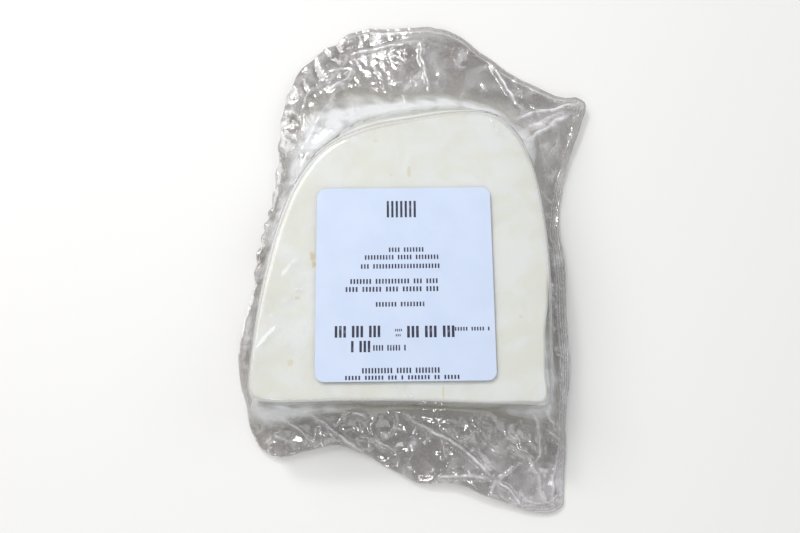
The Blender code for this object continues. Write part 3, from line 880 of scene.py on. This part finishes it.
cheese_rings = []
for share in shares(CHEESE_TOP_RINGS, CHEESE_TOP_CROWDING):
    radius = (cheese_block - cheese_edge) * share
    x, y = at_spoke(radius, cheese_bearing)
    slow = SLOW_HOLLOWS[0] * (1 + sway(x, y, SLOW_HOLLOWS[1], seed=51))
    small = SMALL_HOLLOWS[0] * bowls(x, y, SMALL_HOLLOWS[1], seed=52)
    cheese_rings.append((radius, cheese_top - slow - small))
for _, radius, height in edge_turn(cheese_block, cheese_edge, cheese_rings[-1][1], CHEESE_EDGE_RINGS):
    cheese_rings.append((radius, height))
arc = film_along[-1] * np.arange(CHEESE_SPOKES) / CHEESE_SPOKES
wall_top = cheese_top - cheese_edge
for share in shares(CHEESE_WALL_RINGS):
    height = wall_top - (wall_top - CHEESE_UNDER - FOOT_HEIGHT) * share
    bend = LAYER_BEND * sway(arc, height * LAYER_BENDS[1], LAYER_BENDS[0], seed=61)
    fade = 1 + sway(arc, height * LAYER_FADES[1], LAYER_FADES[0], seed=64)
    layers = LAYER_DEPTH * np.sin(height * LAYER_PACE + bend) * fade
    crumbs = CRUMB_DEPTH * (1 - facets(arc, height, CRUMB_SIZE, seed=63))
    broken = bowls(arc, height * BREAK_FLATNESS, BREAK_SIZE, seed=62) + crumbs
    depth = smooth_step(share * WALL_DEPTH_GROWS) * (cheese_rough * (broken + layers) + WALL_DEPTH)
    cheese_rings.append((wall_radius(cheese_block, cheese_bearing, height) - depth, height))
foot_radius = cheese_rings[-1][0]
cheese_rings.append((foot_radius - FOOT_IN, np.full(CHEESE_SPOKES, CHEESE_UNDER + FOOT_UP)))
for share in CHEESE_UNDER_SHARES:
    cheese_rings.append((foot_radius * share, np.full(CHEESE_SPOKES, CHEESE_UNDER)))
cheese = spoke_skin("cheese_block", cheese_rings, cheese_bearing)

# %% [markdown]
# ## The whey
# Feta weeps a little milky whey, and it gathers where film and cheese part. It is a ring of thin liquid
# round the foot of the block, between the two sides of the film, deepest at the rounded end and at the
# corners. The ring is a closed tube that grows thinner outwards. Its stored cloudiness fades to nothing at
# the outer edge, and the material turns it into how much shows through.

# %% Whey
WHEY_SPOKES = 360
WHEY_RINGS = 26
# Its depth starts at this height, its flat lower side is a step below, and it keeps a gap to the film.
WHEY_FLOOR, WHEY_STEP, WHEY_ROOF_GAP = 0.5, 0.05, 0.4
# It starts this far inside the wall and fills at most this share of the skirt.
WHEY_INSIDE, WHEY_MOST = 0.8, 0.8
# How deep it is at least before it thins, and the share of its depth that is lost by the outer edge.
WHEY_LEAST, WHEY_THINS, WHEY_THINS_POWER = 0.1, 0.6, 3
# Its cloudiness: middle, swing, most and size of the clouds, and how quickly they fade outwards.
CLOUD, CLOUD_SWING, CLOUD_MOST, CLOUD_SIZE, CLOUD_FADE = 0.85, 0.5, 1.2, 11, 1.4

whey_bearing = spoke_bearings(WHEY_SPOKES)
whey_seal = radius_at(BAG_OUTLINE, whey_bearing)
whey_leaves = by_bearing(FILM_LEAVES, whey_bearing)
whey_foot = wall_radius(radius_at(BLOCK_OUTLINE, whey_bearing), whey_bearing, whey_leaves)
whey_reach = np.minimum(by_bearing(WHEY_REACH, whey_bearing), (whey_seal - whey_foot) * WHEY_MOST)
whey_cloud = by_bearing(WHEY_REACH, whey_bearing, 2)
whey_inner = whey_foot - WHEY_INSIDE - by_bearing(CHEESE_CORNER_INSET, whey_bearing)
whey_wide = whey_foot + whey_reach - whey_inner

whey_rings = []
for share in np.linspace(0, 1, WHEY_RINGS):
    radius = whey_inner + whey_wide * share
    out = np.clip((radius - whey_foot) / (whey_seal - whey_foot), 0, 1)
    x, y = at_spoke(radius, whey_bearing)
    clouds = np.clip(CLOUD + CLOUD_SWING * sway(x, y, CLOUD_SIZE, seed=71), 0, CLOUD_MOST)
    room = np.maximum(hanging(whey_bearing, out) - WHEY_ROOF_GAP - WHEY_FLOOR, WHEY_LEAST)
    deep = room * (1 - WHEY_THINS * share**WHEY_THINS_POWER)
    cloud = whey_cloud * smooth_step((1 - share) * CLOUD_FADE) * clouds
    whey_rings.append((radius, WHEY_FLOOR + deep, cloud))
for share in np.linspace(1, 0, WHEY_RINGS // 3):
    under = np.full(WHEY_SPOKES, WHEY_FLOOR - WHEY_STEP)
    whey_rings.append((whey_inner + whey_wide * share, under, 0 * whey_cloud))
whey_faces = ring_faces(len(whey_rings), WHEY_SPOKES)
last_ring = (len(whey_rings) - 1) * WHEY_SPOKES
for i in range(WHEY_SPOKES):
    j = (i + 1) % WHEY_SPOKES
    whey_faces.append([last_ring + i, i, j, last_ring + j])
whey_points = np.concatenate(ring_points(whey_rings, whey_bearing))
whey = new_piece("whey", whey_points, whey_faces, {"cloud": np.concatenate([r[2] for r in whey_rings])})

# %% [markdown]
# ## The label
# A scale prints this label on a small rectangle of thermal paper with rounded corners. It is stuck on
# the film and sways as slowly as the film does, but paper bends less and bridges small folds.
# It is made of rings that grow from its middle to its outline, and shrink back to the middle underneath.

# %% Label
LABEL_WIDTH = 57.15
LABEL_LENGTH = 63.5
LABEL_CORNER = 3
LABEL_TURN = math.radians(0.6)
LABEL_THICKNESS = 0.12
LABEL_RINGS = 22
LABEL_SIDE_STEPS = 40
LABEL_CORNER_STEPS = 8
LABEL_SHARP = math.radians(50)
# How high it lies above the block's full height, and how high and how long it sways.
LABEL_RAISE, LABEL_SWAY, LABEL_SWAY_SIZE = 0.45, 0.07, 42
# It lifts off at the sides and at the lower edge: millimetres from the middle, way to rise, and height.
SIDE_LIFT, LOWER_LIFT = (20, 9, 0.072), (24, 8, 0.06)


def label_height(x, y):
    """The height of the label's upper face: a slow sway, a little lifted at its sides and lower edge."""
    lifted = 0
    for away, (start, way, lift) in ((np.abs(x), SIDE_LIFT), (-y, LOWER_LIFT)):
        lifted = lifted + lift * smooth_step((away - start) / way)
    return BLOCK_HEIGHT + LABEL_RAISE + LABEL_SWAY * sway(x, y, LABEL_SWAY_SIZE, seed=81) + lifted


def rounded_rectangle(width, length, corner):
    """Points round a rectangle with rounded corners, evenly spaced along the sides."""
    arcs = []
    for quarter, (sx, sy) in enumerate(((1, 1), (-1, 1), (-1, -1), (1, -1))):
        centre = np.array((sx * (width / 2 - corner), sy * (length / 2 - corner)))
        turn = math.pi / 2 * (quarter + np.linspace(0, 1, LABEL_CORNER_STEPS + 1))
        arcs.append(centre + corner * np.column_stack((np.cos(turn), np.sin(turn))))
    points = []
    for arc, next_arc in zip(arcs, arcs[1:] + arcs[:1]):
        side = np.linspace(arc[-1], next_arc[0], LABEL_SIDE_STEPS, endpoint=False)[1:]
        points += [arc, side]
    return np.concatenate(points)


def turned(x, y):
    """A point of the label, turned with it."""
    cos, sin = math.cos(LABEL_TURN), math.sin(LABEL_TURN)
    return x * cos - y * sin, x * sin + y * cos


label_edge = rounded_rectangle(LABEL_WIDTH, LABEL_LENGTH, LABEL_CORNER)
label_layers = []
for share in shares(LABEL_RINGS):
    x, y = turned(label_edge[:, 0] * share, label_edge[:, 1] * share)
    label_layers.append(np.column_stack((x, y, label_height(x, y))))
under = [layer - (0, 0, LABEL_THICKNESS) for layer in reversed(label_layers)]
label_poles = [(0, 0, label_height(0, 0) - down) for down in (0, LABEL_THICKNESS)]
label = closed_skin("label_paper", label_layers + under, label_poles)
label.data.set_sharp_from_angle(angle=LABEL_SHARP)

# %% [markdown]
# ## The print
# The print is a thermal head's: thin dark strokes in rows, partly rubbed off at the left. It stands here
# as rows of plain upright ticks with the same weight and places, which say nothing. Each tick is a tiny
# raised bar that follows the paper, so it stays sharp at any distance.

# %% Print
# Each bar stands from just above the paper up to its full height.
INK_LOW, INK_HIGH = 0.005, 0.03
BAR_FACES = ((3, 2, 1, 0), (4, 5, 6, 7), (0, 1, 5, 4), (1, 2, 6, 5), (2, 3, 7, 6), (3, 0, 4, 7))
# How much of its pitch a tick fills, in small print and in large print.
SMALL_INKED, LARGE_INKED = 0.52, 0.6
# Rows: from x to x, from y to y, ticks in each group and, in larger print, how much a tick fills.
TICK_ROWS = (
    (-5.6, 4.7, 21.7, 27.3, (7,), 0.5),
    (-5.0, 6.7, 10.0, 11.5, (4, 7)),
    (-12.8, 11.5, 7.5, 9.0, (10, 5, 8)),
    (-14.1, 11.8, 4.5, 6.0, (3, 22)),
    (-17.5, 11.1, -0.5, 1.1, (7, 11, 3, 4)),
    (-19.0, 11.3, -3.1, -1.5, (4, 6, 4, 6, 4)),
    (-9.3, 6.7, -8.0, -6.5, (7, 8)),
    (-22.4, -7.4, -17.8, -14.1, (3, 3, 3), LARGE_INKED),
    (0.6, 16.2, -18.0, -14.3, (3, 3, 3), LARGE_INKED),
    (-3.2, -0.8, -16.0, -15.2, (4,)),
    (-3.0, -1.2, -17.6, -16.9, (3,)),
    (15.8, 27.2, -16.0, -14.8, (5, 5, 1)),
    (-17.2, -10.6, -22.5, -18.9, (1, 3), LARGE_INKED),
    (-10.2, 0.5, -22.1, -20.3, (4, 5, 1)),
    (-13.7, 11.1, -29.2, -27.5, (10, 5, 8)),
    (-19.0, 17.3, -31.2, -29.9, (5, 6, 3, 1, 7, 2, 5)),
)

ink_points, ink_faces = [], []


def bar(x0, y0, x1, y1):
    """A raised bar on the label, from one corner to the other."""
    first = len(ink_points)
    for lift in (INK_LOW, INK_HIGH):
        for x, y in ((x0, y0), (x1, y0), (x1, y1), (x0, y1)):
            tx, ty = turned(x, y)
            ink_points.append((tx, ty, float(label_height(tx, ty)) + lift))
    ink_faces.extend([first + corner for corner in face] for face in BAR_FACES)


def tick_row(x0, x1, low, high, groups, inked=SMALL_INKED):
    """Groups of upright ticks, all of one height, with a gap of one tick between groups."""
    ticks = sum(groups) + len(groups) - 1
    pitch = (x1 - x0) / ticks
    place = 0
    for group in groups:
        for _ in range(group):
            left = x0 + pitch * place
            bar(left, low, left + inked * pitch, high)
            place += 1
        place += 1


for row in TICK_ROWS:
    tick_row(*row)
ink = new_piece("label_print", ink_points, ink_faces)
ink.data.polygons.foreach_set("use_smooth", [False] * len(ink_faces))

# %% [markdown]
# ## Shader maths as Python
# A material is a graph of nodes. Wiring each node by hand hides the thought, so one small class wraps a
# socket and lets Python's own operators add the Math nodes. A second one holds the material, and has one
# method that adds any other kind of node, with short names for the kinds that come back.

# %% Wires and finishes
NOISE_MIDDLE = (0.5, 0.5, 0.5)


class Wire:
    """A socket of a material, which can be used in Python expressions."""

    def __init__(self, finish, socket):
        self.finish = finish
        self.socket = socket

    def math(self, operation, *values, clamp=False):
        """The result of a Math node."""
        sockets = dict(enumerate(values))
        return self.finish.node("ShaderNodeMath", sockets, operation=operation, use_clamp=clamp)

    def __add__(self, other):
        return self.math("ADD", self, other)

    __radd__ = __add__

    def __sub__(self, other):
        return self.math("SUBTRACT", self, other)

    def __rsub__(self, other):
        return self.math("SUBTRACT", other, self)

    def __mul__(self, other):
        return self.math("MULTIPLY", self, other)

    __rmul__ = __mul__

    def __truediv__(self, other):
        return self.math("DIVIDE", self, other)

    def larger(self, other):
        return self.math("MAXIMUM", self, other)

    def clamped(self):
        return self.math("ADD", self, 0.0, clamp=True)

    def rising(self, low, high):
        """0 below low, 1 above high, and smooth between them. It falls instead if high is below low."""
        return self.finish.node(
            "ShaderNodeMapRange",
            {"Value": self, "From Min": low, "From Max": high},
            interpolation_type="SMOOTHSTEP",
        )

    def between(self, dark, light):
        """A colour from dark, where this value is 0, to light, where it is 1."""
        return self.finish.node(
            "ShaderNodeMix", {0: self, 6: dark, 7: light}, out=2, data_type="RGBA", clamp_factor=True
        )


class Finish:
    """A material being made."""

    def __init__(self, name):
        self.material = bpy.data.materials.new(name)
        self.material.use_nodes = True
        self.tree = self.material.node_tree
        self.tree.nodes.clear()

    def node(self, kind, sockets=None, out=0, **settings):
        """Adds a node: its settings first, then the values or links of its sockets."""
        made = self.tree.nodes.new(kind)
        for name, value in settings.items():
            setattr(made, name, value)
        for key, value in (sockets or {}).items():
            if isinstance(value, Wire):
                self.tree.links.new(value.socket, made.inputs[key])
            else:
                made.inputs[key].default_value = value
        return Wire(self, made.outputs[out])

    def spot(self):
        """Where a point of the piece is, in metres."""
        return self.node("ShaderNodeTexCoord", out="Object")

    def stored(self, label):
        """A value that is stored on the piece's points."""
        return self.node("ShaderNodeAttribute", out="Fac", attribute_name=label)

    def noise(self, size_mm, detail=3, rough=0.5, warp=0, where=None):
        """Smooth noise from 0 to 1, with features of the given size."""
        sockets = {"Scale": 1 / (size_mm * MM), "Detail": detail, "Roughness": rough, "Distortion": warp}
        return self.node("ShaderNodeTexNoise", {"Vector": where or self.spot(), **sockets})

    def bent_spot(self, size_mm, shift_mm):
        """Where a point of the piece is, pushed about a little, so that straight patterns bend."""
        sockets = {"Vector": self.spot(), "Scale": 1 / (size_mm * MM)}
        pushed = self.node("ShaderNodeTexNoise", sockets, out="Color")
        centred = self.node("ShaderNodeVectorMath", {0: pushed, 1: NOISE_MIDDLE}, operation="SUBTRACT")
        reach = 2 * shift_mm * MM
        scaled = self.node("ShaderNodeVectorMath", {0: centred, "Scale": reach}, operation="SCALE")
        return self.node("ShaderNodeVectorMath", {0: self.spot(), 1: scaled}, operation="ADD")

    def bump(self, height, strength, depth_mm):
        """The surface's normal, bent by a height."""
        sockets = {"Height": height, "Strength": strength, "Distance": depth_mm * MM}
        return self.node("ShaderNodeBump", sockets)

    def see_through(self, colour):
        """A clear shader that tints what is behind it."""
        return self.node("ShaderNodeBsdfTransparent", {"Color": colour})

    def paint(self, colour, rough, **others):
        """The principled shader with a colour, a roughness and any other sockets."""
        others = {name.replace("_", " "): value for name, value in others.items()}
        return self.node("ShaderNodeBsdfPrincipled", {"Base Color": colour, "Roughness": rough, **others})

    def mix(self, share, first, second):
        """The first shader where share is 0, the second where it is 1, and a mix between."""
        return self.node("ShaderNodeMixShader", {0: share, 1: first, 2: second})

    def surface(self, shader):
        """The material, with this shader as its surface."""
        output = self.tree.nodes.new("ShaderNodeOutputMaterial")
        self.tree.links.new(shader.socket, output.inputs["Surface"])
        print(f"{self.material.name}: {len(self.tree.nodes)} nodes")
        return self.material


# %% [markdown]
# ## Film
# Clear film is seen by three things: it mirrors the lights on every crinkle, it dims what is behind it a
# little, and it turns milky on folds. So it is a transparent shader with a faint tint, mixed with a
# milky one by the stored milkiness, and then with a mirror that grows as the film is seen more aslant. The
# stored milkiness also holds painted highlights. Loose film is dimmed more, and hazy in patches, because it
# stands for two sheets with air and moisture between them. Painted shade darkens the gathered valleys and
# the fine creases, and the fine creases also get a painted highlight. A fine bump adds crinkles that are
# too small for the mesh.

# %% Film finish
FILM_CLEAR = (0.955, 0.955, 0.95, 1)
FILM_SMOKY = (0.48, 0.445, 0.43, 1)
# The milky colour serves both milky film and the painted highlights stored with the milkiness.
FILM_MILK_AND_HIGHLIGHT = (0.8, 0.79, 0.82, 1)
FILM_ROUGH, MILKY_ROUGH = 0.1, 0.35
# How much loose film mirrors when seen straight on, both its faces together. On wet cheese it mirrors less.
FILM_MIRROR, WET_MIRROR = 0.13, 0.45
MIRROR_POWER = 5.0
# Fine crumples: size in millimetres, slope of their sides and strength of their creases.
FINE_FACETS = ((3.8, 0.15, 1), (1.9, 0.07, 0.6))
CREASE_EDGE = 0.09
# Their lines are bent: size and reach. In the gathered band they lose a share.
BEND_SIZE, BEND_REACH = 4.5, 1.6
FINE_LOSS = 0.5
# The stored milk is broken up by noise: its share and the least that is left.
MILK_NOISE, MILK_LEAST = 1.3, 0.4
# The least share of the fine height and of the bump that is left in smooth patches and on wet film.
SMOOTH_HEIGHT, WET_BUMP = 0.2, 0.02
# How much loose film dims what is behind it, and how strong the painted shade is in the gathered
# valleys and along fine creases.
SLACK_DIMS, VALLEY_PAINTED_SHADE, CREASE_PAINTED_SHADE = 0.37, 0.4, 0.38
# How much fine creases, haze and loose film veil it, and the veil that is everywhere. The veil on fine
# creases is a painted highlight.
CREASE_PAINTED_HIGHLIGHT, HAZE_VEILS, SLACK_VEILS, LEAST_VEIL = 0.16, 0.3, 0.02, 0.01

finish = Finish("clear_film")
# The stored gathered value is the painted shade between the puckers.
milk_and_highlight, slack, gathered = (finish.stored(label) for label in ("milk_and_highlight", "slack", "gathered"))
bent = finish.bent_spot(BEND_SIZE, BEND_REACH)
height = lines = 0
for size, slope, strength in FINE_FACETS:
    sockets = {"Vector": bent, "Scale": 1 / (size * MM)}
    edge = finish.node("ShaderNodeTexVoronoi", sockets, feature="DISTANCE_TO_EDGE")
    height = edge * (size * slope) + height
    lines = edge.rising(CREASE_EDGE, 0.0) * strength + lines
patchy = finish.noise(6, detail=2).rising(0.42, 0.65)
rumpled = finish.noise(8, detail=2, warp=0.5).rising(0.42, 0.62)
height = height * (SMOOTH_HEIGHT + (1 - SMOOTH_HEIGHT) * rumpled)
lines = (lines * patchy * slack * (1 - FINE_LOSS * gathered)).clamped()
haze = finish.noise(13, rough=0.55, warp=0.8).rising(0.47, 0.7) * slack * (1 - gathered)
milk_and_highlight = milk_and_highlight * (finish.noise(0.9, detail=2, rough=0.6, where=bent) * MILK_NOISE + MILK_LEAST)
loose = WET_BUMP + slack * (1 - WET_BUMP)
normal = finish.bump(height * loose, 1.0, 1)
# Painted shade: the gathered valleys and the fine creases darken the film.
dim = slack * SLACK_DIMS + gathered * VALLEY_PAINTED_SHADE + lines * CREASE_PAINTED_SHADE
body = finish.mix(dim.clamped(), finish.see_through(FILM_CLEAR), finish.see_through(FILM_SMOKY))
milky = finish.paint(FILM_MILK_AND_HIGHLIGHT, MILKY_ROUGH, Normal=normal)
# The fine creases get a painted highlight on top of the stored milkiness.
veiled = milk_and_highlight + lines * CREASE_PAINTED_HIGHLIGHT + haze * HAZE_VEILS + slack * SLACK_VEILS + LEAST_VEIL
clouded = finish.mix(veiled.clamped(), body, milky)
mirror = finish.node("ShaderNodeBsdfAnisotropic", {"Roughness": FILM_ROUGH, "Normal": normal})
slant = finish.node("ShaderNodeLayerWeight", {"Blend": 0.5, "Normal": normal}, out="Facing")
straight_on = FILM_MIRROR * (WET_MIRROR + (1 - WET_MIRROR) * slack)
mirrored = slant.math("POWER", slant, MIRROR_POWER) * (1 - straight_on) + straight_on
film.data.materials.append(finish.surface(finish.mix(mirrored, clouded, mirror)))

# %% [markdown]
# ## Cheese
# Feta is white with a breath of green and yellow, moist and slightly see-through, so light spreads a
# little inside it. Its tone drifts slowly over the face, with small pits where whey drained, which look
# straw coloured. Each pit is an ellipse with a ragged edge.

# %% Cheese finish
CHEESE_LIGHT = (0.8, 0.82, 0.815, 1)
CHEESE_DEEP = (0.765, 0.775, 0.72, 1)
PIT_COLOUR = (0.66, 0.58, 0.36, 1)
# Pits: where in millimetres, half sizes along x and y, and strength.
PITS = (
    (-29.9, 8.5, 0.9, 1.5, 0.75), (-29.5, 5.9, 0.8, 1.2, 0.7), (-30.6, 9.8, 0.5, 0.7, 0.5),
    (1.6, 38, 0.7, 2.0, 0.45), (-4.4, 36.7, 0.6, 0.5, 0.3), (-34.6, -5.2, 1.0, 0.6, 0.5),
    (-36.2, -26, 1.1, 1.2, 0.4), (37.2, -11.2, 0.7, 0.7, 0.35), (12.1, -35, 0.35, 2.6, 0.5),
    (-9.9, 48.9, 1.0, 0.8, 0.25),
)
# A pit fades between these two sizes, and its edge is ragged by this much. It takes off this much height.
PIT_OUTER, PIT_INNER, PIT_RAGGED, PIT_DEPTH = 1.3, 0.4, 0.9, 2
FINE_GRAIN, COARSE_GRAIN = 0.35, 0.7
CHEESE_ROUGH = 0.42
CHEESE_BUMP, CHEESE_BUMP_DEPTH = 0.18, 0.3
# Light spreads inside: share, reach of red, green and blue, and millimetres.
SPREAD, SPREAD_REACH, SPREAD_SIZE = 0.3, (1.0, 0.85, 0.55), 3

finish = Finish("feta")
where = finish.spot()
apart = finish.node("ShaderNodeSeparateXYZ", {0: where})
east, north = apart, Wire(finish, apart.socket.node.outputs["Y"])
drift = finish.noise(11, rough=0.55, warp=0.6)
ragged = finish.noise(1.2, detail=2, rough=0.6) * PIT_RAGGED - PIT_RAGGED / 2
pits = None
for x, y, wide, tall, strength in PITS:
    dx = (east - (x + LABEL_AT[0]) * MM) / (wide * MM)
    dy = (north - (y + LABEL_AT[1]) * MM) / (tall * MM)
    pit = (dx * dx + dy * dy + ragged).rising(PIT_OUTER, PIT_INNER) * strength
    pits = pit if pits is None else pits.larger(pit)
up = finish.node("ShaderNodeSeparateXYZ", {0: finish.node("ShaderNodeNewGeometry", out="Normal")}, out="Z")
pits = pits * up.rising(0.5, 0.9)
tone = drift.rising(0.35, 0.65).between(CHEESE_LIGHT, CHEESE_DEEP)
colour = pits.between(tone, PIT_COLOUR)
fine, coarse = finish.noise(0.8, rough=0.55), finish.noise(5, detail=2)
height = fine * FINE_GRAIN + coarse * COARSE_GRAIN - pits * PIT_DEPTH
cheese_shader = finish.paint(
    colour,
    CHEESE_ROUGH,
    Subsurface_Weight=SPREAD,
    Subsurface_Radius=SPREAD_REACH,
    Subsurface_Scale=SPREAD_SIZE * MM,
    Normal=finish.bump(height, CHEESE_BUMP, CHEESE_BUMP_DEPTH),
)
cheese.data.materials.append(finish.surface(cheese_shader))

# %% [markdown]
# ## Whey
# Whey is milk thinned with water. Where it is deep it hides what is behind it, and at its edge it is only
# a veil. The stored cloudiness sets that, broken up by soft noise so that it gathers in clouds.

# %% Whey finish
WHEY_COLOUR = (0.94, 0.96, 0.985, 1)
WHEY_VEIL = (0.97, 0.97, 0.95, 1)
WHEY_ROUGH = 0.25
NOISE_SHARE, NOISE_LEAST = 1.1, 0.35

finish = Finish("whey")
clouds = finish.noise(7, rough=0.55, warp=0.4) * NOISE_SHARE + NOISE_LEAST
cloud = (finish.stored("cloud") * clouds).clamped()
whey_surface = finish.mix(cloud, finish.see_through(WHEY_VEIL), finish.paint(WHEY_COLOUR, WHEY_ROUGH))
whey.data.materials.append(finish.surface(whey_surface))

# %% [markdown]
# ## Paper and ink
# Thermal paper is bluish white, smooth and slightly satin, with a faint mottle. The print is a dark navy,
# a little uneven where the head pressed less.

# %% Label finishes
PAPER = (0.575, 0.665, 0.835, 1)
PAPER_SHADE = (0.55, 0.64, 0.81, 1)
INK = (0.02, 0.022, 0.05, 1)
INK_WORN = (0.16, 0.17, 0.24, 1)
PAPER_ROUGH, INK_ROUGH = 0.5, 0.55
PAPER_BUMP, PAPER_BUMP_DEPTH = 0.15, 0.05

finish = Finish("thermal_paper")
mottle = finish.noise(9).rising(0.3, 0.7)
fibre = finish.noise(0.25, rough=0.6)
normal = finish.bump(fibre, PAPER_BUMP, PAPER_BUMP_DEPTH)
paper = finish.paint(mottle.between(PAPER, PAPER_SHADE), PAPER_ROUGH, Normal=normal)
label.data.materials.append(finish.surface(paper))

finish = Finish("thermal_print")
worn = finish.noise(2.2, rough=0.6).rising(0.52, 0.75)
ink.data.materials.append(finish.surface(finish.paint(worn.between(INK, INK_WORN), INK_ROUGH)))

# %% [markdown]
# ## Floor and light
# The pack lies on a plain pale floor in soft studio light. The strongest light stands at the upper left,
# like a window, with a weaker one opposite and one in front, and the world fills the rest. Film shows
# best by small bright reflections, so two smaller lamps give it glints.

# %% Floor
# Half its side in metres, its two tones and the size of their patches in millimetres.
FLOOR_HALF = 3.0
FLOOR_DARK, FLOOR_LIGHT = (0.8, 0.8, 0.795, 1), (0.83, 0.83, 0.825, 1)
FLOOR_PATCHES = 300
FLOOR_ROUGH = 0.75

floor_data = bpy.data.meshes.new("floor")
corners = [(x * FLOOR_HALF, y * FLOOR_HALF, 0) for x, y in ((-1, -1), (1, -1), (1, 1), (-1, 1))]
floor_data.from_pydata(corners, [], [(0, 1, 2, 3)])
floor = add_object("floor", floor_data)
finish = Finish("pale_floor")
floor_tone = finish.noise(FLOOR_PATCHES, detail=2).between(FLOOR_DARK, FLOOR_LIGHT)
floor_data.materials.append(finish.surface(finish.paint(floor_tone, FLOOR_ROUGH)))

# %% Lights
# Each lamp: place and size in millimetres, power in watts and colour.
LIGHTS = (
    ("window", (-420, 330, 620), 560, 3.6, (1.0, 0.985, 0.965)),
    ("fill", (520, 160, 520), 460, 1.0, (0.97, 0.985, 1.0)),
    ("front", (120, -640, 430), 460, 0.8, (1.0, 0.99, 0.97)),
    ("glint", (-230, 420, 520), 70, 1.2, (1.0, 1.0, 1.0)),
    ("front glint", (-170, -420, 520), 90, 0.5, (1.0, 1.0, 1.0)),
)
WORLD_COLOUR = (0.99, 0.99, 1.0, 1)
WORLD_STRENGTH = 0.36
# How many clear surfaces one ray may cross. Crumpled film is crossed many times where it is seen aslant.
CLEAR_LAYERS = 24


def add_light(name, place, size, power, colour):
    """A square area light that faces the pack."""
    lamp = bpy.data.lights.new(name, "AREA")
    lamp.size = size * MM
    lamp.energy = power
    lamp.color = colour
    made = add_object(name, lamp)
    made.location = Vector(place) * MM
    made.rotation_euler = (-made.location).to_track_quat("-Z", "Y").to_euler()


for row in LIGHTS:
    add_light(*row)
world = bpy.data.worlds.new("studio")
world.use_nodes = True
background = world.node_tree.nodes["Background"]
background.inputs["Color"].default_value = WORLD_COLOUR
background.inputs["Strength"].default_value = WORLD_STRENGTH
bpy.context.scene.world = world
bpy.context.scene.view_settings.view_transform = "Standard"
bpy.context.scene.cycles.transparent_max_bounces = CLEAR_LAYERS
print(len(LIGHTS), "lights and a world of strength", WORLD_STRENGTH)

# %% [markdown]
# ## Tie the pieces to the frame
# Every piece rides on the one body of the frame. The film, with the cheese and whey in it, stands for
# the CAD's bag, and the paper with its print stands for the CAD's label.

# %% Ride and replace
for piece, slot in (
    (film, "film"), (cheese, "cheese"), (whey, "whey"), (label, "label_paper"), (ink, "label_ink"),
):
    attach(piece, "root")
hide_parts("bag")
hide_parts("label")
